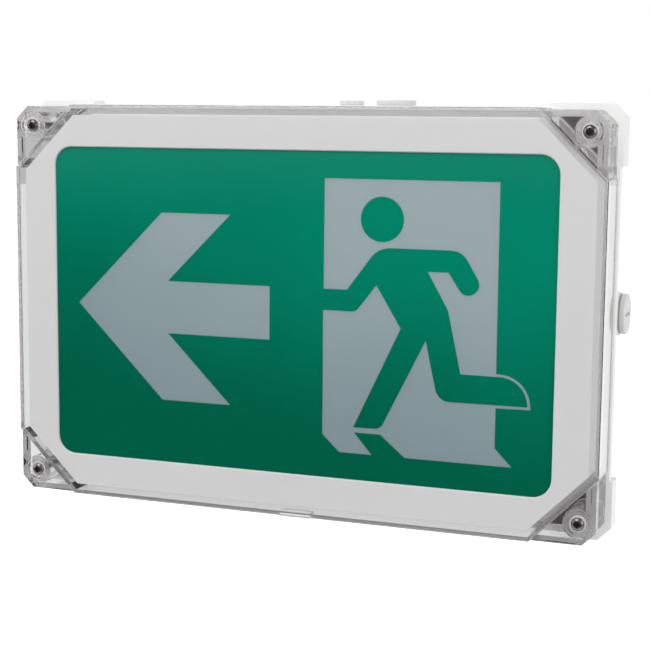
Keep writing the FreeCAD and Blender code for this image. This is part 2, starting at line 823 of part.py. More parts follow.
def hook_places():
    """Snap hooks of the frame: place along the top or bottom wall, and which of the two."""
    return [(sx * hook_x, sz) for sx, sz in signs()]


def hook_block(hook, reach_out, low, high, half):
    """Block against the cavity's side wall, from inside it to a reach past the wall's face."""
    along, side = hook
    inner = cavity_half_z - panel_gap - hook_thickness
    z0, z1 = sorted((side * inner, side * (cavity_half_z + reach_out)))
    return block(along - half, along + half, z0, z1, low, high)


def hook_recess(hook):
    """Recess in the base wall for a hook's barb."""
    low = base_depth - hook_reach
    high = low + barb_length + panel_gap
    return hook_block(hook, hook_barb + panel_gap, low, high, hook_width / 2 + panel_gap)


def make_sign_frame():
    low, high = base_depth, frame_front
    body = prism(cut_rectangle(frame_half_x, frame_half_z, frame_diagonal), low, high)
    hollow = prism(cut_rectangle(frame_half_x - frame_wall, frame_half_z - frame_wall, frame_diagonal_in),
                   low - past, legend_front)
    body = body.cut(hollow)
    outer_x = pocket_half_x + panel_rebate_wall
    outer_z = pocket_half_z + panel_rebate_wall
    rebate = prism(cut_rectangle(outer_x, outer_z, frame_diagonal - frame_wall / 2),
                   diffuser_back, legend_front)
    rebate = rebate.cut(prism(cut_rectangle(pocket_half_x, pocket_half_z, frame_diagonal_in),
                              diffuser_back - past, legend_front + past))
    pieces = [body, rebate]
    for hook in hook_places():
        along, side = hook
        half = hook_width / 2
        foot = base_depth - hook_reach
        top = base_depth + hook_height
        tongue = hook_block(hook, -panel_gap, foot, top, half)
        bridge = hook_block(hook, frame_half_z - cavity_half_z - frame_wall / 2, base_depth, top, half)
        z_face = side * (cavity_half_z - panel_gap)
        z_tip = side * (cavity_half_z + hook_barb)
        profile = [Vector(along - half, -foot, z_face), Vector(along - half, -(foot + barb_tip), z_tip),
                   Vector(along - half, -(foot + barb_length), z_face)]
        barb = Part.Face(Part.makePolygon(profile + profile[:1])).extrude(Vector(hook_width, 0, 0))
        pieces += [tongue, bridge, barb]
    body = fuse(pieces)
    aperture = block(-sign_half_x, sign_half_x, -sign_half_z, sign_half_z,
                     legend_front - past, frame_front + past)
    body = body.cut(round_corners(aperture, sign_corner_radius))
    return body.makeChamfer(aperture_chamfer, [e for e in body.Edges if is_aperture_edge(e)])


def is_aperture_edge(edge):
    """True for the frame's front edges round the sign's opening."""
    at_front = all(same(v.Y, -frame_front) for v in edge.Vertexes)
    box = edge.BoundBox
    inside_x = max(abs(box.XMin), abs(box.XMax)) < sign_half_x + aperture_chamfer
    inside_z = max(abs(box.ZMin), abs(box.ZMax)) < sign_half_z + aperture_chamfer
    return at_front and inside_x and inside_z


def panel_prism(inset, low, high):
    """Panel with cut corners that fits the frame, set in all round by an inset."""
    diagonal = panel_diagonal - inset * math.sqrt(2)
    return prism(cut_rectangle(panel_half_x - inset, panel_half_z - inset, diagonal), low, high)


def make_legend_panel():
    return panel_prism(0, legend_back, legend_front)


def make_panel_spacer():
    outside = panel_prism(0, diffuser_front, legend_back)
    return outside.cut(panel_prism(spacer_width, diffuser_front - past, legend_back + past))


def make_diffuser_panel():
    return panel_prism(0, diffuser_back, diffuser_front)


# ------------------------------------------------------------------ lamp tray

def rectangle(half_x, half_z):
    """Outline of a centred rectangle."""
    return [(-half_x, -half_z), (half_x, -half_z), (half_x, half_z), (-half_x, half_z)]


def make_reflector_tray():
    flange = panel_prism(0, tray_flange_back, diffuser_back)
    outer = tapered(rectangle(tray_floor_x, tray_floor_z), rectangle(tray_mouth_x, tray_mouth_z),
                    tray_floor_back, tray_flange_back)
    inner = tapered(rectangle(tray_floor_x - tray_sheet, tray_floor_z - tray_sheet),
                    rectangle(tray_mouth_x - tray_sheet, tray_mouth_z - tray_sheet),
                    tray_floor_front, tray_flange_back)
    mouth = prism(rectangle(tray_mouth_x - tray_sheet, tray_mouth_z - tray_sheet),
                  tray_flange_back, diffuser_back + past)
    tray = fuse([flange, outer]).cut(fuse([inner, mouth]))
    for x, z in tray_places():
        tray = tray.cut(post(x, z, small_screw_radius + screw_hole_gap, 0, base_depth))
    for name, z in strip_places():
        for x, zs in strip_screw_places(z):
            tray = tray.cut(post(x, zs, small_screw_radius, 0, base_depth))
    return tray.cut(post(lead_hole()[0], lead_hole()[1], tray_hole_radius, 0, base_depth))


def lead_hole():
    """Where the lamp lead comes through the tray floor."""
    return (driver_x + lamp_socket_offset, -strip_pitch / 2)


def strip_places():
    return [("lower", -strip_pitch), ("middle", 0.0), ("upper", strip_pitch)]


def strip_screw_places(z):
    return [(side * (strip_length / 2 - strip_screw_margin), z) for side in (-1, 1)]


def make_strip(z):
    strip = block(-strip_length / 2, strip_length / 2, z - strip_width / 2, z + strip_width / 2,
                  tray_floor_front, strip_front)
    for x, zs in strip_screw_places(z):
        strip = strip.cut(post(x, zs, small_screw_radius, 0, base_depth + cover_depth))
    x, top = lead_hole()[0], z + strip_width / 2
    half = strip_socket_width / 2
    socket = block(x - half, x + half, top - strip_socket_length, top - strip_socket_edge,
                   strip_front, strip_front + strip_socket_height)
    return fuse([strip, socket])


def make_chips(z):
    z = z - strip_width / 4
    pitch = (strip_length - 2 * chip_margin) / (chips_per_strip - 1)
    start = -pitch * (chips_per_strip - 1) / 2
    half = chip_size / 2
    return Part.makeCompound([
        block(start + i * pitch - half, start + i * pitch + half, z - half, z + half,
              strip_front, strip_front + chip_height) for i in range(chips_per_strip)])


def make_strip_screws():
    places = [place for name, z in strip_places() for place in strip_screw_places(z)]
    return Part.makeCompound([
        pan_screw(x, z, strip_front, small_head_radius, small_head_height, small_screw_radius,
                  strip_thickness + tray_sheet + strip_screw_proud) for x, z in places])


# ------------------------------------------------------------------ control module

def driver_blank(inset, low, high):
    half_x = driver_length / 2 - inset
    half_z = driver_width / 2 - inset
    return block(driver_x - half_x, driver_x + half_x, driver_z - half_z, driver_z + half_z, low, high)


def ear(x, z, length):
    """Screw ear that sinks into the block beside it."""
    half = length / 2
    return block(x - half - weld, x + half + weld, z - half, z + half, gear_floor, gear_floor + ear_thickness)


def driver_sockets(half, reach, low, high):
    """Blocks at the module's lead sockets: two in the upper side, one in the right-hand end."""
    top = driver_z + driver_width / 2
    right = driver_x + driver_length / 2
    blocks = [block(driver_x + offset - half, driver_x + offset + half,
                    top - reach[0], top + reach[1], low, high)
              for offset in (mains_socket_offset, lamp_socket_offset)]
    return blocks + [block(right - reach[0], right + reach[1], driver_z - half, driver_z + half, low, high)]


def make_driver_case():
    high = gear_floor + driver_height
    case = round_corners(driver_blank(0, gear_floor, high), driver_corner_radius)
    case = fuse([case] + [ear(x, z, ear_length) for x, z in driver_ears()])
    case = case.cut(driver_blank(driver_wall, gear_floor + driver_wall, high + past))
    ledge = driver_blank(driver_wall, gear_floor + driver_wall, driver_board_back)
    case = fuse([case, ledge.cut(driver_blank(driver_wall + board_ledge, gear_floor, base_depth))])
    for x, z in driver_ears():
        case = case.cut(post(x, z, small_screw_radius, 0, base_depth))
    for mouth in driver_sockets(socket_half, (driver_wall + weld, past), driver_board_front, high + past):
        case = case.cut(mouth)
    return case


def make_driver_lid():
    top = gear_floor + driver_height
    lid = round_corners(driver_blank(0, top, top + driver_lid_thickness), driver_corner_radius)
    start = driver_x - (vent_slot_count - 1) * vent_slot_pitch / 2
    for i in range(vent_slot_count):
        x = start + i * vent_slot_pitch
        lid = lid.cut(block(x - vent_slot_width / 2, x + vent_slot_width / 2,
                            driver_z - driver_width / 4, driver_z + driver_width / 4,
                            top - past, top + driver_lid_thickness + past))
    return lid


def make_driver_board():
    """Board with its sockets, transformer, capacitors and inductor soldered on."""
    top = driver_board_front
    board = driver_blank(driver_wall, driver_board_back, top)
    sockets = driver_sockets(socket_half, (socket_depth, -driver_wall), top, top + socket_height)
    length, width, height = transformer_size
    x, z = driver_x + transformer_place[0], driver_z + transformer_place[1]
    transformer = block(x - length / 2, x + length / 2, z - width / 2, z + width / 2, top, top + height)
    reservoir = post(driver_x + reservoir_place[0], driver_z + reservoir_place[1], reservoir_radius,
                     top, top + reservoir_height)
    outputs = [post(driver_x + x, driver_z + z, output_radius, top, top + output_height)
               for x, z in output_places]
    return fuse([board, transformer, reservoir] + outputs + sockets)


# ------------------------------------------------------------------ battery

def battery_axis():
    """Stand-off of the cells' axis."""
    return gear_floor + battery_rise + cell_radius


def make_battery_pack():
    length = cell_length * cell_count
    start = battery_x - length / 2
    point = (0, -battery_axis(), battery_z)
    sleeve = rod(point, (1, 0, 0), cell_radius, start, start + length)
    for i in range(1, cell_count):
        x = start + i * cell_length
        sleeve = sleeve.cut(ring(point, (1, 0, 0), cell_radius + past, cell_radius - sleeve_groove_depth,
                                 x - sleeve_groove_half, x + sleeve_groove_half))
    rims = [e for e in sleeve.Edges for end in (start, start + length)
            if same(e.BoundBox.XMin, end) and same(e.BoundBox.XMax, end)]
    return sleeve.makeFillet(sleeve_round, rims)


def clip_places():
    """Screw places of the two battery clips."""
    return [(battery_x + side * clip_offset, battery_z) for side in (-1, 1)]


def make_battery_clip(x):
    point = (0, -battery_axis(), battery_z)
    outer = cell_radius + clip_thickness
    half = clip_width / 2
    band = ring(point, (1, 0, 0), outer, cell_radius, x - half, x + half)
    mouth = block(x - clip_width, x + clip_width, battery_z - outer - past, battery_z + outer + past,
                  battery_axis() + cell_radius * clip_mouth, battery_axis() + outer + past)
    foot = block(x - half, x + half, battery_z - half, battery_z + clip_foot_reach + clip_foot_end,
                 gear_floor, gear_floor + clip_foot_thickness)
    stem = block(x - half, x + half, battery_z - half / 2, battery_z + half / 2,
                 gear_floor, gear_floor + battery_rise - clip_thickness / 2)
    clip = fuse([band.cut(mouth), foot, stem])
    return clip.cut(post(x, battery_z + clip_foot_reach, small_screw_radius, 0, base_depth))


def make_clip_screws():
    return small_screws(clip_screw_places(), gear_floor + clip_foot_thickness, floor_screw_length)


# ------------------------------------------------------------------ terminals and saddle

def terminal_poles_x():
    """Centre of each terminal."""
    start = terminal_x - (terminal_poles - 1) * terminal_pitch / 2
    return [start + i * terminal_pitch for i in range(terminal_poles)]


def make_terminal_block():
    half_x = terminal_poles * terminal_pitch / 2
    half_z = terminal_width / 2
    shelf = block(terminal_x - half_x, terminal_x + half_x, terminal_z - half_z, terminal_z + half_z,
                  gear_floor, gear_floor + terminal_shelf_height)
    tower = block(terminal_x - half_x, terminal_x + half_x, terminal_z - half_z / 2, terminal_z + half_z / 2,
                  gear_floor, gear_floor + terminal_height)
    body = fuse([shelf, tower] + [ear(x, z, terminal_ear) for x, z in terminal_ears()])
    top = gear_floor + terminal_height
    for x in terminal_poles_x():
        well = post(x, terminal_z, terminal_screw_radius, gear_floor + terminal_well_floor, top + past)
        mouth = rod((x, -terminal_mouth, terminal_z), (0, 0, 1), terminal_mouth_radius,
                    -half_z - past, half_z + past)
        body = body.cut(well).cut(mouth)
    for x in terminal_poles_x()[1:]:
        side = x - terminal_pitch / 2
        body = body.cut(block(side - terminal_groove_width / 2, side + terminal_groove_width / 2,
                              terminal_z - half_z, terminal_z + half_z,
                              top - terminal_groove_depth, top + past))
    for x, z in terminal_ears():
        body = body.cut(post(x, z, small_screw_radius, 0, base_depth))
    return body


def make_terminal_screws():
    low = terminal_mouth + terminal_mouth_radius
    high = gear_floor + terminal_height - terminal_screw_sunk
    half = terminal_slot_width / 2
    screws = []
    for x in terminal_poles_x():
        slot = block(x - terminal_pitch / 2, x + terminal_pitch / 2, terminal_z - half, terminal_z + half,
                     high - terminal_slot_depth, high + past)
        screws.append(post(x, terminal_z, terminal_screw_radius, low, high).cut(slot))
    return Part.makeCompound(screws)


def make_cable_saddle():
    low = base_floor + saddle_post_height
    half = saddle_width / 2
    start, end = saddle_z - saddle_length / 2, saddle_z + saddle_length / 2
    point = (saddle_x, -(low - saddle_arch_drop), 0)
    bar = block(saddle_x - half, saddle_x + half, start, end, low, low + saddle_thickness)
    arch = rod(point, (0, 0, 1), saddle_arch_radius, start, end)
    below = block(saddle_x - half, saddle_x + half, start - past, end + past, 0, low)
    space = rod(point, (0, 0, 1), saddle_arch_radius - saddle_arch_wall, start - past, end + past)
    saddle = fuse([bar, arch.cut(below)]).cut(space)
    for x, z in saddle_places():
        saddle = saddle.cut(post(x, z, small_screw_radius + screw_hole_gap, 0, base_depth))
    return saddle


# ------------------------------------------------------------------ entries

def make_entry_plug(point, direction, face):
    seat = face + seal_thickness
    head = rod(point, direction, plug_head_radius, seat, seat + plug_head_height)
    rims = [e for e in head.Edges if e.Curve.TypeId == "Part::GeomCircle"]
    outer_rim = max(rims, key=lambda e: Vector(*direction).dot(e.CenterOfMass))
    head = head.makeFillet(plug_edge_round, [outer_rim])
    shank = rod(point, direction, entry_radius - thread_gap, seat - plug_length, seat)
    bore = rod(point, direction, plug_bore_radius, seat - plug_length - past, seat - bore_stop)
    plug = fuse([head, shank]).cut(bore)
    centre = Vector(*point) + Vector(*direction) * (seat + plug_head_height)
    slot = block(-plug_slot_length / 2, plug_slot_length / 2, -plug_slot_width / 2, plug_slot_width / 2,
                 -plug_slot_depth, plug_slot_depth)
    if direction[2] > 0:
        slot.rotate(Vector(0, 0, 0), Vector(1, 0, 0), 90)
    else:
        slot.rotate(Vector(0, 0, 0), Vector(0, 0, 1), 90)
    slot.translate(centre)
    return plug.cut(slot)


def make_plug_seal(point, direction, face):
    return ring(point, direction, plug_head_radius - seal_set_in, entry_radius, face, face + seal_thickness)


def vent_line():
    """Point on the vent's axis, outward direction and face distance."""
    return (vent_x, -entry_stand_off, 0), (0, 0, 1), base_half_z + entry_boss_height


def make_breather_vent():
    point, direction, face = vent_line()
    seat = face + seal_thickness
    head = rod(point, direction, vent_head_radius, seat, seat + vent_head_height - seal_thickness)
    shank = rod(point, direction, vent_radius - thread_gap, seat - plug_length, seat)
    bore = rod(point, direction, vent_radius - vent_wall, seat - plug_length - past, seat - bore_stop)
    vent = fuse([head, shank]).cut(bore)
    for i in range(vent_notches):
        angle = 2 * math.pi * i / vent_notches
        centre = Vector(vent_x + vent_head_radius * math.cos(angle),
                        -entry_stand_off + vent_head_radius * math.sin(angle), 0)
        vent = vent.cut(rod(tuple(centre), direction, vent_notch_radius, seat + vent_notch_rise,
                            seat + vent_head_height))
    return vent


def make_vent_seal():
    point, direction, face = vent_line()
    return ring(point, direction, vent_head_radius - seal_set_in, vent_radius, face, face + seal_thickness)


def make_wall_grommets():
    return Part.makeCompound([
        ring((x, 0, z), (0, -1, 0), fixing_boss_radius - grommet_wall, fixing_hole_radius,
             grommet_seat, grommet_seat + grommet_thickness) for x, z in fixing_places()])


# ------------------------------------------------------------------ test button

def down(x):
    """Axis line of something in the bottom wall; distances along it grow out of the housing."""
    return (x, -button_stand_off, 0), (0, 0, -1)


def make_test_button():
    point, direction = down(button_x)
    head = round_lower_rim(rod(point, direction, button_radius, button_shoulder, button_tip),
                           button_tip, button_edge_round)
    stem = rod(point, direction, stem_radius, stem_end, button_shoulder)
    collar = rod(point, direction, collar_radius, collar_end, collar_end + collar_thickness)
    return fuse([head, stem, collar])


def make_button_barrel():
    point, direction = down(button_x)
    outer_face = barrel_seat + barrel_flange_thickness
    flange = round_lower_rim(rod(point, direction, barrel_flange_radius, barrel_seat, outer_face),
                             outer_face, barrel_edge_round)
    tube = rod(point, direction, barrel_radius, barrel_inner_end, barrel_seat)
    bore = rod(point, direction, button_radius + button_gap, barrel_inner_end + barrel_end_wall, button_tip)
    way = rod(point, direction, stem_radius + button_gap, barrel_inner_end - past, barrel_seat)
    return fuse([flange, tube]).cut(bore).cut(way)


def make_button_nut():
    point, direction = down(button_x)
    corner = nut_across_flats / math.sqrt(3)
    points = [Vector(button_x + corner * math.cos(math.radians(60 * i)),
                     -button_stand_off + corner * math.sin(math.radians(60 * i)), -cavity_half_z)
              for i in range(6)]
    nut = Part.Face(Part.makePolygon(points + points[:1])).extrude(Vector(0, 0, nut_thickness))
    return nut.cut(rod(point, direction, barrel_radius, cavity_half_z - nut_thickness - past,
                       cavity_half_z + past))


def make_button_seal():
    point, direction = down(button_x)
    return ring(point, direction, barrel_flange_radius - seal_set_in, barrel_radius + thread_gap,
                wall_out, barrel_seat)


def make_button_spring():
    point, direction = down(button_x)
    low = barrel_inner_end + barrel_end_wall + spring_wire_radius
    high = button_shoulder - spring_wire_radius
    helix = Part.makeHelix((high - low) / spring_turns, high - low, spring_radius)
    start = Part.Wire(Part.makeCircle(spring_wire_radius, Vector(spring_radius, 0, 0),
                                      Vector(0, 1, spring_lean)))
    spring = Part.Wire(helix).makePipeShell([start], True, True)
    spring.rotate(Vector(0, 0, 0), Vector(1, 0, 0), 180)
    spring.translate(Vector(button_x, -button_stand_off, -low))
    return spring


def make_status_board():
    half = status_board_depth / 2
    return block(button_x - status_board_margin, lens_x + status_board_margin, board_z,
                 board_z + board_thickness, button_stand_off - half, button_stand_off + half)


def make_tact_switch():
    point, direction = down(button_x)
    half = switch_size / 2
    body = block(button_x - half, button_x + half, board_z - switch_height, board_z,
                 button_stand_off - half, button_stand_off + half)
    plunger = rod(point, direction, plunger_radius, -board_z, -board_z + switch_height + plunger_height)
    return fuse([body, plunger])


def make_charge_lamp():
    point, direction = down(lens_x)
    shoulder = board_z - lamp_height + lamp_radius
    dome = Part.makeSphere(lamp_radius, Vector(lens_x, -button_stand_off, shoulder),
                           Vector(0, 0, -1), 0, 90, 360)
    return fuse([rod(point, direction, lamp_radius, -board_z, -shoulder), dome])


def make_charge_lens():
    point, direction = down(lens_x)
    outer_face = wall_out + lens_flange_thickness
    flange = round_lower_rim(rod(point, direction, lens_flange_radius, wall_out, outer_face),
                             outer_face, lens_edge_round)
    return fuse([flange, rod(point, direction, lens_radius, wall_out - lens_length, wall_out)])


# ------------------------------------------------------------------ inner leads

def lead(points):
    """Round lead along straight runs joined by tangent arcs."""
    corners = [Vector(*p) for p in points]
    edges = []
    start = corners[0]
    for i in range(1, len(corners) - 1):
        before = corners[i - 1] - corners[i]
        after = corners[i + 1] - corners[i]
        turn = math.pi - before.getAngle(after)
        setback = bend_share * min(before.Length, after.Length)
        radius = setback / math.tan(turn / 2)
        first = corners[i] + before.normalize() * setback
        last = corners[i] + after.normalize() * setback
        bisector = (before + after).normalize()
        middle = corners[i] + bisector * (radius / math.cos(turn / 2) - radius)
        edges.append(Part.makeLine(start, first))
        edges.append(Part.Arc(first, middle, last).toShape())
        start = last
    edges.append(Part.makeLine(start, corners[-1]))
    path = Part.Wire(edges)
    direction = corners[1] - corners[0]
    section = Part.Wire(Part.makeCircle(lead_radius, corners[0], direction))
    return path.makePipeShell([section], True, False)


def make_battery_lead():
    """From the cells' left end across to the module's right-hand socket."""
    start_x = battery_x - cell_length * cell_count / 2
    end_x = driver_x + driver_length / 2 - driver_wall
    bends = [start_x + share * (end_x - start_x) for share in battery_bends]
    rise = battery_axis()
    return lead([(start_x, -rise, battery_z), (bends[0], -rise, battery_z),
                 (bends[1], -lead_height, driver_z), (end_x, -lead_height, driver_z)])


def make_lamp_lead():
    """From the module up through the tray floor and back down to the lowest lamp strip."""
    x, hole_z = lead_hole()
    start_z = driver_z + driver_width / 2 - driver_wall
    inside = strip_front + strip_socket_height / 2
    end_z = strip_width / 2 - strip_pitch - strip_socket_edge
    bends = [hole_z + share * (end_z - hole_z) for share in lamp_bends]
    return lead([(x, -lead_height, start_z), (x, -lead_height, start_z + lead_straight),
                 (x, -(lead_height + tray_floor_back) / 2, hole_z), (x, -inside - lead_hump, hole_z),
                 (x, -inside - lead_hump, bends[0]), (x, -inside, bends[1]),
                 (x, -inside, end_z)])


def make_mains_lead():
    """From the live and neutral terminals down to the module."""
    start_z = terminal_z - terminal_width / 2
    end_x = driver_x + mains_socket_offset
    end_z = driver_z + driver_width / 2 - driver_wall
    levels = [start_z + share * (end_z - start_z) for share in mains_bends]
    return lead([(terminal_x, -terminal_mouth, start_z), (terminal_x, -terminal_mouth, levels[0]),
                 (terminal_x - lead_hump, -terminal_mouth - lead_hump, levels[1]),
                 (end_x + lead_hump, -lead_height + lead_hump, levels[2]), (end_x, -lead_height, levels[3]),
                 (end_x, -lead_height, end_z)])


def main():
    os.makedirs("parts", exist_ok=True)
    export("base_housing", make_base_housing())
    export("cover_gasket", make_cover_gasket())
    export("clear_cover", make_clear_cover())
    export("cover_screws", make_cover_screws())
    export("cover_washers", make_cover_washers())
    export("cover_inserts", make_cover_inserts())
    export("sign_frame", make_sign_frame())
    export("legend_panel", make_legend_panel())
    export("panel_spacer", make_panel_spacer())
    export("diffuser_panel", make_diffuser_panel())
    export("reflector_tray", make_reflector_tray())
    export("tray_screws", small_screws(tray_places(), tray_floor_front, small_screw_length))
    for name, z in strip_places():
        export("led_strip_" + name, make_strip(z))
        export("led_chips_" + name, make_chips(z))
    export("strip_screws", make_strip_screws())
    export("driver_case", make_driver_case())
    export("driver_lid", make_driver_lid())
    export("driver_board", make_driver_board())
    export("driver_screws", small_screws(driver_ears(), gear_floor + ear_thickness, floor_screw_length))
    export("battery_pack", make_battery_pack())
    for name, place in zip(("left", "right"), clip_places()):
        export("battery_clip_" + name, make_battery_clip(place[0]))
    export("clip_screws", make_clip_screws())
    export("terminal_block", make_terminal_block())
    export("terminal_screws", make_terminal_screws())
    export("terminal_fixings", small_screws(terminal_ears(), gear_floor + ear_thickness, floor_screw_length))
    export("cable_saddle", make_cable_saddle())
    export("saddle_screws", small_screws(saddle_places(), saddle_seat, small_screw_length))
    for name, point, direction, face in entry_axes():
        export("entry_plug_" + name, make_entry_plug(point, direction, face))
        export("plug_seal_" + name, make_plug_seal(point, direction, face))
    export("breather_vent", make_breather_vent())
    export("vent_seal", make_vent_seal())
    export("wall_grommets", make_wall_grommets())
    export("test_button", make_test_button())
    export("button_barrel", make_button_barrel())
    export("button_nut", make_button_nut())
    export("button_seal", make_button_seal())
    export("button_spring", make_button_spring())
    export("status_board", make_status_board())
    export("tact_switch", make_tact_switch())
    export("charge_lamp", make_charge_lamp())
    export("charge_lens", make_charge_lens())
    export("battery_lead", make_battery_lead())
    export("lamp_lead", make_lamp_lead())
    export("mains_lead", make_mains_lead())


main()
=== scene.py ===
"""Looks of a weatherproof wall-mounted emergency exit light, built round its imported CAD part."""

import math
import bmesh
import bpy
from mathutils import Matrix, Vector


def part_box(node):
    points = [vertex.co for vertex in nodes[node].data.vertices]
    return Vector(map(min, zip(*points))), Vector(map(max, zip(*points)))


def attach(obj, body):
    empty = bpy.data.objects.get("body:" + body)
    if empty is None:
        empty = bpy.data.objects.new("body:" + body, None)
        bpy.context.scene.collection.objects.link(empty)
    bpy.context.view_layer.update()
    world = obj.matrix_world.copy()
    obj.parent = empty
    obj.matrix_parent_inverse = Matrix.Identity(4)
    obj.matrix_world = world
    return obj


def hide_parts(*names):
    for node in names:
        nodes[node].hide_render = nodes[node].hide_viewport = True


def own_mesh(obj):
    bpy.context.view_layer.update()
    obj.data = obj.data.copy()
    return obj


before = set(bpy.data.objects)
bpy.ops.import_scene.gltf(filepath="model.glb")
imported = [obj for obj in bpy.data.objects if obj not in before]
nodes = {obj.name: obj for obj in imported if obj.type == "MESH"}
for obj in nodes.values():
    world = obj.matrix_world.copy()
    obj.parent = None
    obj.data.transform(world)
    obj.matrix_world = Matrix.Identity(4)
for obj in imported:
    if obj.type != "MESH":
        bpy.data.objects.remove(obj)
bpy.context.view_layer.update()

# Metres, in the part's frame: X right across the sign, Y into the wall, Z up.
MM = 0.001

# --- camera
camera_place = Vector((0.3514, -0.9403, 0.1205))
camera_aim = Vector((0.0219, -0.067, -0.0057))
camera_roll = 0.54           # degrees
camera_lens = 83.85

# --- studio
floor_z = -0.55
floor_size = 16.0
floor_front = -0.45          # the floor ends here, so that the window mirrors only the dim room
floor_glow = 0.8
floor_through = 0.1          # the floor's glow seen through glass
floor_tones = (0.8, 0.3)     # its colour seen straight and in gloss, and that seen through glass
ambient = 0.5                # grey level that fills the shadows
gloss_level = 0.3            # how bright the room in front of the sign looks in gloss
glass_level = 0.4            # and through glass
room_edge = (-0.25, 0.1)     # Y of the view ray where the dim room gives way to the white behind
glass_back = (0.2, 0.6)      # the white behind the sign seen through glass, low and high
glass_heights = (-0.35, -0.05)  # Z of the view ray at those two
mirror_level = (0.002, 0.13)    # where the window mirrors the room to the camera, low and high
mirror_heights = (-0.07, 0.03)  # Z of the mirrored ray at those two
mirror_spot = (0.86, 0.95)      # edge of that dark spot, as the cosine from its middle
lamp_aim = Vector((0, -0.04, 0))
lamps = (("lamp_above", (-0.5, -1.3, 1.7), (1.6, 1.0), 25.5),
         ("lamp_right", (1.9, -0.9, 0.5), (1.0, 1.4), 15),
         ("lamp_left", (-1.9, -0.7, 0.5), (1.0, 1.4), 11))

# --- sign print, in millimetres from the centre of the sign
sign_half = (167.5, 102.0, 12.0)
print_thickness = 0.1
print_gap = 0.02
arrow_tip = 151.3
arrow_half = 61.0
arrow_flat = 48.2
arrow_shaft_half = 17.0
arrow_end = -15.0
head_centre = (58.9, 61.2)
head_radius = 13.8
arc_step = math.radians(9)
circle_steps = 48

# --- cover, gasket and button, in millimetres
screw_head_radius = 4.0
ring_pitch = 2.2             # turned rings round the cover's screws
ring_reach = 9.0
ring_fade = 0.5
ring_depth = 0.12
gasket_painted_light_reach = 284.0           # X and Z together, out to which the gasket is lighter by painted light
gasket_painted_light_edge = 2.0

# --- looks
painted_shade_slope = (0.7, 0.0, 4.2) # painted shade over the sign's sheets: its rise for each metre along X, Y and Z
painted_shade_span = (-0.25, 0.6)     # start and end of the painted shade on that slope
painted_shade_clouds = 0.35           # how far soft clouds shift it
cloud_scale = 9.0            # clouds in each metre, of random tone on the plastics and in the sign's painted shade
stain_scale = 420.0          # and stains on metal
cover_absorbs = (0.06, 0.0, 0.03, 1)
opal_passes = (0.9, 0.9, 0.9, 1)
merge_distance = 1e-6        # metres between points that are one point


# ------------------------------------------------------------------ colours and node helpers

def tone(red, green, blue):
    """Linear colour from the usual 0 to 255 values."""
    def channel(value):
        value /= 255
        return value / 12.92 if value <= 0.04045 else ((value + 0.055) / 1.055) ** 2.4
    return channel(red), channel(green), channel(blue), 1.0


def add_node(tree, kind, values=(), **settings):
    """New shader node with its settings, and values for its input sockets by name or number."""
    node = tree.nodes.new(kind)
    for name, value in settings.items():
        setattr(node, name, value)
    for name, value in dict(values).items():
        node.inputs[name].default_value = value
    return node


def new_group(name, inputs, outputs):
    """Shader node group with its input and output nodes."""
    group = bpy.data.node_groups.new(name, "ShaderNodeTree")
    for socket, kind, value in inputs:
        made = group.interface.new_socket(socket, in_out="INPUT", socket_type=kind)
        made.default_value = value
    for socket, kind in outputs:
        group.interface.new_socket(socket, in_out="OUTPUT", socket_type=kind)
    return group, add_node(group, "NodeGroupInput"), add_node(group, "NodeGroupOutput")


surface_outputs = [("Colour", "NodeSocketColor"), ("Roughness", "NodeSocketFloat"),
                   ("Normal", "NodeSocketVector")]


def make_moulding_group():
    """Moulded plastic: slow drift of the shade, fine satin grain in gloss and relief."""
    group, given, out = new_group(
        "moulded_surface",
        [("Colour", "NodeSocketColor", (0.8, 0.8, 0.8, 1)), ("Drift", "NodeSocketFloat", 0.05),
         ("Roughness", "NodeSocketFloat", 0.4), ("Grain Size", "NodeSocketFloat", 1800.0),
         ("Relief", "NodeSocketFloat", 0.1)], surface_outputs)
    link = group.links.new
    place = add_node(group, "ShaderNodeTexCoord")
    drift = add_node(group, "ShaderNodeTexNoise", {"Scale": cloud_scale, "Detail": 3.0})
    grain = add_node(group, "ShaderNodeTexNoise", {"Detail": 2.0, "Roughness": 0.6})
    link(place.outputs["Object"], drift.inputs["Vector"])
    link(place.outputs["Object"], grain.inputs["Vector"])
    link(given.outputs["Grain Size"], grain.inputs["Scale"])
    centred = add_node(group, "ShaderNodeMath", {1: 0.5}, operation="SUBTRACT")
    shift = add_node(group, "ShaderNodeMath", operation="MULTIPLY")
    level = add_node(group, "ShaderNodeMath", {1: 1.0}, operation="ADD")
    link(drift.outputs["Fac"], centred.inputs[0])
    link(centred.outputs[0], shift.inputs[0])
    link(given.outputs["Drift"], shift.inputs[1])
    link(shift.outputs[0], level.inputs[0])
    shade = add_node(group, "ShaderNodeVectorMath", operation="SCALE")
    link(given.outputs["Colour"], shade.inputs[0])
    link(level.outputs[0], shade.inputs["Scale"])
    link(shade.outputs[0], out.inputs["Colour"])
    spread = add_node(group, "ShaderNodeMapRange", {"To Min": 0.85, "To Max": 1.15})
    gloss = add_node(group, "ShaderNodeMath", operation="MULTIPLY")
    link(grain.outputs["Fac"], spread.inputs["Value"])
    link(spread.outputs[0], gloss.inputs[0])
    link(given.outputs["Roughness"], gloss.inputs[1])
    link(gloss.outputs[0], out.inputs["Roughness"])
    bump = add_node(group, "ShaderNodeBump", {"Distance": 0.1 * MM})
    link(given.outputs["Relief"], bump.inputs["Strength"])
    link(grain.outputs["Fac"], bump.inputs["Height"])
    link(bump.outputs[0], out.inputs["Normal"])
    return group


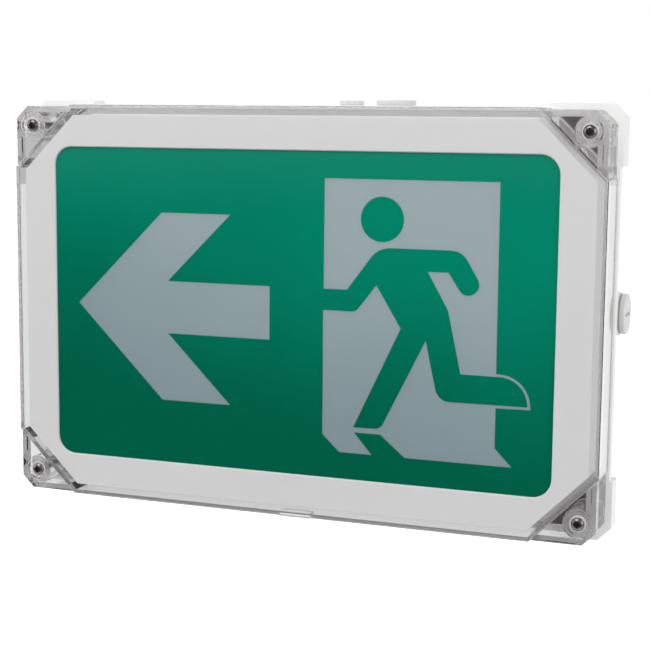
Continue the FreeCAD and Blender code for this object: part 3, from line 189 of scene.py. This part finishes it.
def make_metal_group():
    """Turned and rolled metal: fine streaks along one axis, with a little tarnish."""
    group, given, out = new_group(
        "worked_metal",
        [("Colour", "NodeSocketColor", (0.6, 0.6, 0.6, 1)), ("Tarnish", "NodeSocketFloat", 0.3),
         ("Roughness", "NodeSocketFloat", 0.3),
         ("Stretch", "NodeSocketVector", (900.0, 900.0, 6000.0))], surface_outputs)
    link = group.links.new
    place = add_node(group, "ShaderNodeTexCoord")
    scaled = add_node(group, "ShaderNodeVectorMath", operation="MULTIPLY")
    streaks = add_node(group, "ShaderNodeTexNoise", {"Scale": 1.0, "Detail": 3.0})
    stains = add_node(group, "ShaderNodeTexNoise", {"Scale": stain_scale, "Detail": 4.0})
    link(place.outputs["Object"], scaled.inputs[0])
    link(given.outputs["Stretch"], scaled.inputs[1])
    link(scaled.outputs[0], streaks.inputs["Vector"])
    link(place.outputs["Object"], stains.inputs["Vector"])
    dull = add_node(group, "ShaderNodeMath", operation="MULTIPLY")
    keep = add_node(group, "ShaderNodeMath", {0: 1.0}, operation="SUBTRACT")
    shade = add_node(group, "ShaderNodeVectorMath", operation="SCALE")
    link(stains.outputs["Fac"], dull.inputs[0])
    link(given.outputs["Tarnish"], dull.inputs[1])
    link(dull.outputs[0], keep.inputs[1])
    link(given.outputs["Colour"], shade.inputs[0])
    link(keep.outputs[0], shade.inputs["Scale"])
    link(shade.outputs[0], out.inputs["Colour"])
    spread = add_node(group, "ShaderNodeMapRange", {"To Min": 0.7, "To Max": 1.3})
    gloss = add_node(group, "ShaderNodeMath", operation="MULTIPLY")
    link(streaks.outputs["Fac"], spread.inputs["Value"])
    link(spread.outputs[0], gloss.inputs[0])
    link(given.outputs["Roughness"], gloss.inputs[1])
    link(gloss.outputs[0], out.inputs["Roughness"])
    bump = add_node(group, "ShaderNodeBump", {"Strength": 0.15, "Distance": 0.05 * MM})
    link(streaks.outputs["Fac"], bump.inputs["Height"])
    link(bump.outputs[0], out.inputs["Normal"])
    return group


def make_painted_shade_group():
    """Painted shade over the sign's sheets, from 0, darkest low on the left, to 1, lightest high on
    the right.
    """
    group, given, out = new_group("sign_painted_shade", [], [("Fade", "NodeSocketFloat")])
    link = group.links.new
    place = add_node(group, "ShaderNodeTexCoord")
    # painted shade: darker low on the left, lighter high on the right
    slope = add_node(group, "ShaderNodeVectorMath", {1: painted_shade_slope}, operation="DOT_PRODUCT")
    clouds = add_node(group, "ShaderNodeTexNoise", {"Scale": cloud_scale, "Detail": 1.0})
    link(place.outputs["Object"], slope.inputs[0])
    link(place.outputs["Object"], clouds.inputs["Vector"])
    mixed = add_node(group, "ShaderNodeMath", {1: painted_shade_clouds}, operation="MULTIPLY_ADD")
    link(clouds.outputs["Fac"], mixed.inputs[0])
    link(slope.outputs["Value"], mixed.inputs[2])
    level = add_node(group, "ShaderNodeMapRange",
                     {"From Min": painted_shade_span[0], "From Max": painted_shade_span[1]},
                     interpolation_type="SMOOTHSTEP")
    link(mixed.outputs[0], level.inputs["Value"])
    link(level.outputs[0], out.inputs["Fade"])
    return group


moulded_surface = make_moulding_group()
worked_metal = make_metal_group()
# painted shade over the sign's sheets, darker low on the left
sign_painted_shade = make_painted_shade_group()


def new_material(name):
    """Material with its Principled shader already linked to the output."""
    material = bpy.data.materials.new(name)
    material.use_nodes = True
    tree = material.node_tree
    tree.nodes.clear()
    shader = add_node(tree, "ShaderNodeBsdfPrincipled")
    output = add_node(tree, "ShaderNodeOutputMaterial")
    tree.links.new(shader.outputs[0], output.inputs[0])
    return material, tree, shader, output


def place_group(tree, shader, group, values):
    """Group node with its own values, feeding the sockets of the same names."""
    node = add_node(tree, "ShaderNodeGroup", node_tree=group)
    for name, value in values.items():
        node.inputs[name].default_value = value
    tree.links.new(node.outputs["Colour"], shader.inputs["Base Color"])
    tree.links.new(node.outputs["Roughness"], shader.inputs["Roughness"])
    tree.links.new(node.outputs["Normal"], shader.inputs["Normal"])
    return node


def moulded(name, colour, roughness, drift=0.05, grain=1800.0, relief=0.1, coat=0.0, subsurface=0.0,
            specular=0.5):
    """Opaque moulded plastic, rubber or enamel."""
    material, tree, shader, output = new_material(name)
    place_group(tree, shader, moulded_surface,
                {"Colour": colour, "Drift": drift, "Roughness": roughness, "Grain Size": grain,
                 "Relief": relief})
    shader.inputs["Specular IOR Level"].default_value = specular
    shader.inputs["Coat Weight"].default_value = coat
    shader.inputs["Coat Roughness"].default_value = 0.08
    shader.inputs["Subsurface Weight"].default_value = subsurface
    shader.inputs["Subsurface Scale"].default_value = 2 * MM
    return material


def metal(name, colour, roughness, tarnish=0.25, metallic=1.0):
    """Bare metal, or metal under a pale dull skin where metallic is lower."""
    material, tree, shader, output = new_material(name)
    place_group(tree, shader, worked_metal,
                {"Colour": colour, "Tarnish": tarnish, "Roughness": roughness})
    shader.inputs["Metallic"].default_value = metallic
    return material


def clear(name, tint, ior, pass_level=0.99, density=0.0):
    """Polished clear plastic that lets the lamps' light and scattered light straight through.

    Its depth greys it by density."""
    material, tree, shader, output = new_material(name)
    link = tree.links.new
    shader.inputs["Base Color"].default_value = tint
    shader.inputs["Roughness"].default_value = 0.0
    shader.inputs["Transmission Weight"].default_value = 1.0
    shader.inputs["IOR"].default_value = ior
    path = add_node(tree, "ShaderNodeLightPath")
    through = add_node(tree, "ShaderNodeMath", operation="MAXIMUM")
    link(path.outputs["Is Shadow Ray"], through.inputs[0])
    link(path.outputs["Is Diffuse Ray"], through.inputs[1])
    pane = add_node(tree, "ShaderNodeBsdfTransparent", {"Color": (pass_level,) * 3 + (1.0,)})
    mix = add_node(tree, "ShaderNodeMixShader")
    link(through.outputs[0], mix.inputs[0])
    link(shader.outputs[0], mix.inputs[1])
    link(pane.outputs[0], mix.inputs[2])
    link(mix.outputs[0], output.inputs[0])
    if density:
        body = add_node(tree, "ShaderNodeVolumeAbsorption",
                        {"Color": cover_absorbs, "Density": density})
        link(body.outputs[0], output.inputs["Volume"])
    return material


def ringed(material):
    """Turned rings of the mould, as relief on the cover round its four screws."""
    tree = material.node_tree
    link = tree.links.new
    shader = tree.nodes["Principled BSDF"]
    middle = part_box("cover_screws")[1] - Vector((1, 1, 1)) * screw_head_radius * MM
    place = add_node(tree, "ShaderNodeTexCoord")
    corner = add_node(tree, "ShaderNodeVectorMath", operation="ABSOLUTE")
    offset = add_node(tree, "ShaderNodeVectorMath", {1: (middle.x, 0, middle.z)},
                      operation="SUBTRACT")
    flat = add_node(tree, "ShaderNodeVectorMath", {1: (1, 0, 1)}, operation="MULTIPLY")
    radius = add_node(tree, "ShaderNodeVectorMath", operation="LENGTH")
    turns = add_node(tree, "ShaderNodeMath", {1: 2 * math.pi / (ring_pitch * MM)},
                     operation="MULTIPLY")
    wave = add_node(tree, "ShaderNodeMath", operation="SINE")
    inside = add_node(tree, "ShaderNodeMapRange", {"From Min": (ring_reach + ring_fade) * MM,
                                                   "From Max": ring_reach * MM})
    height = add_node(tree, "ShaderNodeMath", operation="MULTIPLY")
    bump = add_node(tree, "ShaderNodeBump", {"Strength": 1.0, "Distance": ring_depth * MM})
    link(place.outputs["Object"], corner.inputs[0])
    link(corner.outputs[0], offset.inputs[0])
    link(offset.outputs[0], flat.inputs[0])
    link(flat.outputs[0], radius.inputs[0])
    link(radius.outputs["Value"], turns.inputs[0])
    link(turns.outputs[0], wave.inputs[0])
    link(radius.outputs["Value"], inside.inputs["Value"])
    link(wave.outputs[0], height.inputs[0])
    link(inside.outputs[0], height.inputs[1])
    link(height.outputs[0], bump.inputs["Height"])
    link(bump.outputs[0], shader.inputs["Normal"])
    return material


def gasket_rubber(colour, painted_light_tone):
    """Soft rubber, dark in its corners and lighter inwards of them, where painted light stands for
    light thrown from the frame's white edges.
    """
    material, tree, shader, output = new_material("gasket_rubber")
    link = tree.links.new
    node = place_group(tree, shader, moulded_surface,
                       {"Drift": 0.2, "Roughness": 0.75, "Grain Size": 900.0, "Relief": 0.3})
    place = add_node(tree, "ShaderNodeTexCoord")
    spread = add_node(tree, "ShaderNodeVectorMath", operation="ABSOLUTE")
    reach = add_node(tree, "ShaderNodeVectorMath", {1: (1, 0, 1)}, operation="DOT_PRODUCT")
    painted_light_band = add_node(tree, "ShaderNodeMapRange", {"From Min": gasket_painted_light_reach * MM,
                                                "From Max": (gasket_painted_light_reach + gasket_painted_light_edge) * MM})
    # painted light: the lighter tone inwards of the corners
    blend = add_node(tree, "ShaderNodeMix", data_type="RGBA")
    blend.inputs["A"].default_value = painted_light_tone
    blend.inputs["B"].default_value = colour
    link(place.outputs["Object"], spread.inputs[0])
    link(spread.outputs[0], reach.inputs[0])
    link(reach.outputs["Value"], painted_light_band.inputs["Value"])
    link(painted_light_band.outputs[0], blend.inputs["Factor"])
    link(blend.outputs["Result"], node.inputs["Colour"])
    return material


def add_painted_shade(tree, node, deep, bright):
    """Let a group's colour run from deep to bright by the painted shade over the sign."""
    painted_shade_node = add_node(tree, "ShaderNodeGroup", node_tree=sign_painted_shade)
    blend = add_node(tree, "ShaderNodeMix", data_type="RGBA")
    blend.inputs["A"].default_value = deep
    blend.inputs["B"].default_value = bright
    tree.links.new(painted_shade_node.outputs["Fade"], blend.inputs["Factor"])
    tree.links.new(blend.outputs["Result"], node.inputs["Colour"])


def ink_with_painted_shade(name, deep, bright):
    """Smooth ink whose colour carries painted shade over the sign, darker low on the left."""
    material, tree, shader, output = new_material(name)
    node = place_group(tree, shader, moulded_surface,
                       {"Drift": 0.06, "Roughness": 0.12, "Grain Size": 2500.0, "Relief": 0.02})
    add_painted_shade(tree, node, deep, bright)
    shader.inputs["Specular IOR Level"].default_value = 0.2
    return material


def translucent(name, deep, bright, roughness, veil):
    """Opal sheet: its own satin surface, with what stands behind it showing through by the rest.
    Its colour carries painted shade over the sign, darker low on the left.
    """
    material, tree, shader, output = new_material(name)
    node = place_group(tree, shader, moulded_surface,
                       {"Drift": 0.03, "Roughness": roughness, "Grain Size": 2500.0,
                        "Relief": 0.02})
    add_painted_shade(tree, node, deep, bright)
    pane = add_node(tree, "ShaderNodeBsdfTransparent", {"Color": opal_passes})
    mix = add_node(tree, "ShaderNodeMixShader", {0: veil})
    tree.links.new(pane.outputs[0], mix.inputs[1])
    tree.links.new(shader.outputs[0], mix.inputs[2])
    tree.links.new(mix.outputs[0], output.inputs[0])
    return material


# ------------------------------------------------------------------ materials of the CAD nodes

def dress(material, *names):
    """Give CAD nodes a material."""
    for name in names:
        mesh = nodes[name].data
        mesh.materials.clear()
        mesh.materials.append(material)


def dress_frame():
    """Give every CAD node its material."""
    dress(moulded("housing_white", tone(246, 246, 245), 0.42, drift=0.03, relief=0.12),
          "base_housing")
    dress(ringed(clear("cover_clear", tone(248, 250, 250), 1.58, density=12.0)), "clear_cover")
    # the gasket's lighter inner band is painted light
    dress(gasket_rubber(tone(100, 92, 96), tone(212, 210, 213)), "cover_gasket")
    dress(metal("screw_steel", tone(122, 117, 121), 0.3, tarnish=0.4), "cover_screws",
          "tray_screws", "driver_screws", "clip_screws", "saddle_screws", "strip_screws",
          "terminal_screws", "terminal_fixings")
    dress(metal("washer_steel", tone(246, 246, 246), 0.45, tarnish=0.08, metallic=0.35),
          "cover_washers", "button_nut")
    dress(metal("insert_brass", tone(196, 158, 92), 0.3), "cover_inserts")
    dress(moulded("frame_white", tone(238, 236, 236), 0.45, drift=0.03, relief=0.06), "sign_frame")
    # the opal fields carry painted shade, darker low on the left
    dress(translucent("legend_opal_and_painted_shade", tone(168, 190, 196), tone(196, 214, 218), 0.2, 0.7),
          "legend_panel")
    dress(moulded("spacer_foam", tone(214, 214, 212), 0.9, drift=0.12, grain=700.0, relief=0.5),
          "panel_spacer")
    dress(moulded("diffuser_opal", tone(196, 206, 210), 0.3, drift=0.02, relief=0.02,
                  subsurface=0.5), "diffuser_panel")
    dress(moulded("tray_enamel", tone(232, 232, 230), 0.3, drift=0.05, relief=0.03),
          "reflector_tray")
    dress(moulded("strip_resist", tone(236, 236, 230), 0.35, drift=0.05), "led_strip_lower",
          "led_strip_middle", "led_strip_upper")
    dress(moulded("led_phosphor", tone(236, 205, 84), 0.25, drift=0.2, coat=0.4), "led_chips_lower",
          "led_chips_middle", "led_chips_upper")
    dress(moulded("module_plastic", tone(222, 221, 214), 0.5, relief=0.2), "driver_case",
          "driver_lid")
    dress(moulded("board_resist", tone(22, 92, 48), 0.3, drift=0.25, coat=0.3), "driver_board",
          "status_board")
    dress(moulded("cell_sleeve", tone(40, 92, 150), 0.25, drift=0.1, coat=0.3), "battery_pack")
    dress(metal("clip_steel", tone(205, 205, 208), 0.25, tarnish=0.15), "battery_clip_left",
          "battery_clip_right")
    dress(moulded("terminal_plastic", tone(230, 226, 212), 0.4, relief=0.1), "terminal_block",
          "cable_saddle")
    dress(moulded("plug_white", tone(218, 218, 216), 0.45, relief=0.1), "entry_plug_left",
          "entry_plug_right", "entry_plug_top", "button_barrel")
    dress(moulded("vent_grey", tone(226, 226, 224), 0.5, relief=0.15), "breather_vent")
    dress(moulded("seal_rubber", tone(176, 176, 174), 0.7, drift=0.1, relief=0.3), "plug_seal_left",
          "plug_seal_right", "plug_seal_top", "vent_seal", "button_seal", "wall_grommets")
    dress(metal("spring_wire", tone(200, 200, 204), 0.25), "button_spring")
    dress(moulded("switch_black", tone(34, 34, 36), 0.45, relief=0.15), "tact_switch")
    dress(moulded("lamp_resin", tone(150, 205, 150), 0.12, coat=0.5, subsurface=0.3), "charge_lamp")
    dress(clear("lens_green", tone(90, 205, 120), 1.49, pass_level=0.6), "charge_lens")
    dress(moulded("lead_red", tone(168, 36, 28), 0.35, coat=0.2), "battery_lead")
    dress(moulded("lead_white", tone(224, 224, 220), 0.4, coat=0.2), "lamp_lead", "mains_lead")
    dress(moulded("button_red", tone(170, 36, 30), 0.3, relief=0.08, coat=0.2), "test_button")


# ------------------------------------------------------------------ sign print

def rounded_outline(corners):
    """Points of a closed outline from (x, z, corner radius), with an arc at each round corner."""
    points = []
    for i, (x, z, radius) in enumerate(corners):
        here = Vector((x, z))
        before = (Vector(corners[i - 1][:2]) - here).normalized()
        after = (Vector(corners[(i + 1) % len(corners)][:2]) - here).normalized()
        if radius == 0:
            points.append(here)
            continue
        half = before.angle(after) / 2
        centre = here + (before + after).normalized() * (radius / math.sin(half))
        start = here + before * (radius / math.tan(half)) - centre
        sweep = math.pi - 2 * half
        turn = math.copysign(1, before.x * after.y - before.y * after.x) * -1
        steps = max(2, math.ceil(sweep / arc_step))
        for k in range(steps + 1):
            angle = turn * sweep * k / steps
            points.append(centre + Matrix.Rotation(angle, 2) @ start)
    return points


def circle_outline(centre, radius):
    """Points of a circle."""
    turn = 2 * math.pi / circle_steps
    return [Vector((centre[0] + radius * math.cos(turn * k),
                    centre[1] + radius * math.sin(turn * k))) for k in range(circle_steps)]


def flat_sheet(name, outlines, front, thickness):
    """Thin sheet in the plane of the sign: outlines in millimetres, inner ones cut holes."""
    curve = bpy.data.curves.new(name, "CURVE")
    curve.dimensions = "2D"
    curve.fill_mode = "BOTH"
    curve.extrude = thickness * MM / 2
    for outline in outlines:
        spline = curve.splines.new("POLY")
        spline.points.add(len(outline) - 1)
        for point, place in zip(spline.points, outline):
            point.co = (place[0] * MM, place[1] * MM, 0, 1)
        spline.use_cyclic_u = True
    source = bpy.data.objects.new(name, curve)
    mesh = bpy.data.meshes.new_from_object(source)
    bpy.data.objects.remove(source)
    bpy.data.curves.remove(curve)
    mesh.transform(Matrix.Translation((0, front + thickness * MM / 2, 0))
                   @ Matrix.Rotation(math.radians(90), 4, "X"))
    shape = bmesh.new()
    shape.from_mesh(mesh)
    bmesh.ops.remove_doubles(shape, verts=shape.verts, dist=merge_distance)
    bmesh.ops.recalc_face_normals(shape, faces=shape.faces)
    shape.to_mesh(mesh)
    shape.free()
    mesh.name = name
    piece = bpy.data.objects.new(name, mesh)
    bpy.context.scene.collection.objects.link(piece)
    return piece


def arrow_outline():
    """Pale arrow that points left."""
    neck = arrow_tip - arrow_half - arrow_flat + (arrow_half - arrow_shaft_half)
    upper = [(-arrow_tip, 0, 0), (arrow_half - arrow_tip, arrow_half, 0),
             (arrow_half + arrow_flat - arrow_tip, arrow_half, 0), (-neck, arrow_shaft_half, 0),
             (arrow_end, arrow_shaft_half, 0)]
    lower = [(x, -z, 0) for x, z, radius in reversed(upper[1:])]
    return rounded_outline(upper + lower)


def doorway_outline():
    """Pale doorway round the running figure, with the thin line round the rear shoe."""
    return rounded_outline([
        (21.3, 85.4, 0), (131.8, 85.4, 0), (132.0, -29.0, 0), (153.2, -29.4, 19), (153.3, -49.4, 0),
        (132.2, -49.7, 0), (132.2, -74.3, 0), (142.9, -85.2, 0), (75.5, -85.2, 0), (59.4, -71.9, 0),
        (42.4, -71.9, 0), (54.0, -85.2, 0), (32.6, -85.2, 0), (21.2, -74.5, 0), (21.0, 3.9, 0),
        (42.5, 3.9, 6), (55.7, 20.9, 0), (71.7, -5.1, 0), (41.7, -68.6, 0), (59.4, -68.4, 6),
        (87.7, -11.6, 0), (96.0, -48.2, 9), (151.5, -47.8, 0), (151.4, -30.8, 17),
        (109.9, -30.6, 0), (101.4, 7.5, 8), (88.3, 30.5, 0), (101.2, 30.7, 0), (111.7, 14.8, 6.2),
        (122.5, 22.0, 6.2), (109.5, 44.0, 12), (56.5, 43.9, 16), (36.6, 17.2, 0), (21.2, 17.2, 0)])


def make_sign_print():
    """Green ink on the sign panel, open at the arrow and the doorway."""
    half_x, half_z, radius = sign_half
    border = rounded_outline([(-half_x, -half_z, radius), (half_x, -half_z, radius),
                              (half_x, half_z, radius), (-half_x, half_z, radius)])
    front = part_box("legend_panel")[0].y - (print_gap + print_thickness) * MM
    outlines = [border, arrow_outline(), doorway_outline(),
                circle_outline(head_centre, head_radius)]
    sheet = flat_sheet("sign_print", outlines, front, print_thickness)
    sheet.data.materials.clear()
    # the green ink carries painted shade, darker low on the left
    sheet.data.materials.append(ink_with_painted_shade("sign_ink_and_painted_shade", tone(0, 106, 79), tone(0, 146, 116)))
    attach(sheet, "housing")


# ------------------------------------------------------------------ button spring

def make_return_spring():
    """The button's spring as its own piece, hung on the housing."""
    mesh = nodes["button_spring"].data.copy()
    shape = bmesh.new()
    shape.from_mesh(mesh)
    bmesh.ops.remove_doubles(shape, verts=shape.verts, dist=merge_distance)
    shape.to_mesh(mesh)
    shape.free()
    mesh.name = "return_spring"
    spring = bpy.data.objects.new("return_spring", mesh)
    bpy.context.scene.collection.objects.link(spring)
    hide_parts("button_spring")
    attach(spring, "housing")
    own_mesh(spring)


# ------------------------------------------------------------------ studio

def studio_surface(name):
    """Stage surface lit as plain paint: white to camera and gloss, and dimmer through glass."""
    material, tree, shader, output = new_material(name)
    link = tree.links.new
    shader.inputs["Roughness"].default_value = 0.9
    shader.inputs["Emission Color"].default_value = (1, 1, 1, 1)
    path = add_node(tree, "ShaderNodeLightPath")
    shade = add_node(tree, "ShaderNodeMix", {"A": floor_tones[0], "B": floor_tones[1]})
    link(path.outputs["Is Transmission Ray"], shade.inputs["Factor"])
    link(shade.outputs[0], shader.inputs["Base Color"])
    seen = add_node(tree, "ShaderNodeMath", operation="MAXIMUM")
    glow = add_node(tree, "ShaderNodeMath", {1: floor_glow}, operation="MULTIPLY")
    through = add_node(tree, "ShaderNodeMath", {1: floor_through}, operation="MULTIPLY")
    shown = add_node(tree, "ShaderNodeMath", operation="MAXIMUM")
    link(path.outputs["Is Camera Ray"], seen.inputs[0])
    link(path.outputs["Is Glossy Ray"], seen.inputs[1])
    link(path.outputs["Is Transmission Ray"], through.inputs[0])
    link(seen.outputs[0], glow.inputs[0])
    link(glow.outputs[0], shown.inputs[0])
    link(through.outputs[0], shown.inputs[1])
    link(shown.outputs[0], shader.inputs["Emission Strength"])
    rear = add_node(tree, "ShaderNodeNewGeometry")
    open_side = add_node(tree, "ShaderNodeBsdfTransparent")
    mix = add_node(tree, "ShaderNodeMixShader")
    link(rear.outputs["Backfacing"], mix.inputs[0])
    link(shader.outputs[0], mix.inputs[1])
    link(open_side.outputs[0], mix.inputs[2])
    link(mix.outputs[0], output.inputs[0])
    return material


def make_floor():
    """White ground under and behind the sign."""
    mesh = bpy.data.meshes.new("floor")
    shape = bmesh.new()
    bmesh.ops.create_grid(shape, x_segments=1, y_segments=1, size=floor_size / 2)
    bmesh.ops.translate(shape, verts=shape.verts, vec=(0, floor_front + floor_size / 2, floor_z))
    shape.to_mesh(mesh)
    shape.free()
    mesh.materials.append(studio_surface("floor_white"))
    floor = bpy.data.objects.new("floor", mesh)
    bpy.context.scene.collection.objects.link(floor)


def make_room():
    """White behind the sign, dimmer through glass, and a dim room in front of it.

    Round the ray that the window mirrors to the camera the room is darker still."""
    world = bpy.data.worlds.new("studio")
    bpy.context.scene.world = world
    world.use_nodes = True
    tree = world.node_tree
    tree.nodes.clear()
    link = tree.links.new
    path = add_node(tree, "ShaderNodeLightPath")
    place = add_node(tree, "ShaderNodeTexCoord")
    split = add_node(tree, "ShaderNodeSeparateXYZ")
    link(place.outputs["Generated"], split.inputs[0])
    mirrored = (camera_aim - camera_place).normalized() * Vector((1, -1, 1))
    toward = add_node(tree, "ShaderNodeVectorMath", {1: mirrored}, operation="DOT_PRODUCT")
    link(place.outputs["Generated"], toward.inputs[0])
    spot = add_node(tree, "ShaderNodeMapRange",
                    {"From Min": mirror_spot[0], "From Max": mirror_spot[1]})
    link(toward.outputs["Value"], spot.inputs["Value"])
    mirror = add_node(tree, "ShaderNodeMapRange",
                      {"From Min": mirror_heights[0], "From Max": mirror_heights[1],
                       "To Min": mirror_level[0], "To Max": mirror_level[1]},
                      interpolation_type="SMOOTHSTEP")
    link(split.outputs["Z"], mirror.inputs["Value"])
    room = add_node(tree, "ShaderNodeMix", {"A": gloss_level, "B": glass_level})
    link(path.outputs["Is Transmission Ray"], room.inputs["Factor"])
    dark = add_node(tree, "ShaderNodeMix")
    link(spot.outputs[0], dark.inputs["Factor"])
    link(room.outputs[0], dark.inputs["A"])
    link(mirror.outputs[0], dark.inputs["B"])
    back = add_node(tree, "ShaderNodeMapRange",
                    {"From Min": room_edge[0], "From Max": room_edge[1]})
    link(split.outputs["Y"], back.inputs["Value"])
    beyond = add_node(tree, "ShaderNodeMapRange",
                      {"From Min": glass_heights[0], "From Max": glass_heights[1],
                       "To Min": glass_back[0], "To Max": glass_back[1]})
    link(split.outputs["Z"], beyond.inputs["Value"])
    white = add_node(tree, "ShaderNodeMix", {"A": 1.0})
    link(path.outputs["Is Transmission Ray"], white.inputs["Factor"])
    link(beyond.outputs[0], white.inputs["B"])
    around = add_node(tree, "ShaderNodeMix")
    link(back.outputs[0], around.inputs["Factor"])
    link(dark.outputs[0], around.inputs["A"])
    link(white.outputs[0], around.inputs["B"])
    sharp = add_node(tree, "ShaderNodeMath", operation="MAXIMUM")
    link(path.outputs["Is Glossy Ray"], sharp.inputs[0])
    link(path.outputs["Is Transmission Ray"], sharp.inputs[1])
    seen = add_node(tree, "ShaderNodeMix", {"A": ambient})
    link(sharp.outputs[0], seen.inputs["Factor"])
    link(around.outputs[0], seen.inputs["B"])
    level = add_node(tree, "ShaderNodeMix", {"B": 1.0})
    link(path.outputs["Is Camera Ray"], level.inputs["Factor"])
    link(seen.outputs[0], level.inputs["A"])
    glow = add_node(tree, "ShaderNodeBackground", {"Color": (1, 1, 1, 1)})
    output = add_node(tree, "ShaderNodeOutputWorld")
    link(level.outputs[0], glow.inputs["Strength"])
    link(glow.outputs[0], output.inputs[0])


def make_lamp(name, place, size, power):
    """Soft lamp that points at the middle of the sign."""
    light = bpy.data.lights.new(name, "AREA")
    light.shape = "RECTANGLE"
    light.size, light.size_y = size
    light.energy = power
    lamp = bpy.data.objects.new(name, light)
    bpy.context.scene.collection.objects.link(lamp)
    lamp.location = place
    aim = lamp_aim - Vector(place)
    lamp.rotation_mode = "QUATERNION"
    lamp.rotation_quaternion = aim.to_track_quat("-Z", "Y")


def make_camera():
    """Main camera, turned a little round its own axis."""
    data = bpy.data.cameras.new("camera")
    data.lens = camera_lens
    data.sensor_width = 36.0
    camera = bpy.data.objects.new("camera", data)
    bpy.context.scene.collection.objects.link(camera)
    aim = (camera_aim - camera_place).to_track_quat("-Z", "Y").to_matrix()
    turned = aim @ Matrix.Rotation(math.radians(camera_roll), 3, "Z")
    camera.matrix_world = Matrix.Translation(camera_place) @ turned.to_4x4()
    bpy.context.scene.camera = camera


def make_studio():
    """Ground, room, lamps, camera and how the light is followed."""
    make_floor()
    make_room()
    for name, place, size, power in lamps:
        make_lamp(name, place, size, power)
    make_camera()
    scene = bpy.context.scene
    scene.view_settings.view_transform = "Standard"
    scene.cycles.transparent_max_bounces = 24
    scene.cycles.transmission_bounces = 16
    scene.cycles.max_bounces = 20
    scene.cycles.caustics_refractive = False
    scene.cycles.caustics_reflective = False


dress_frame()
make_sign_print()
make_return_spring()
make_studio()
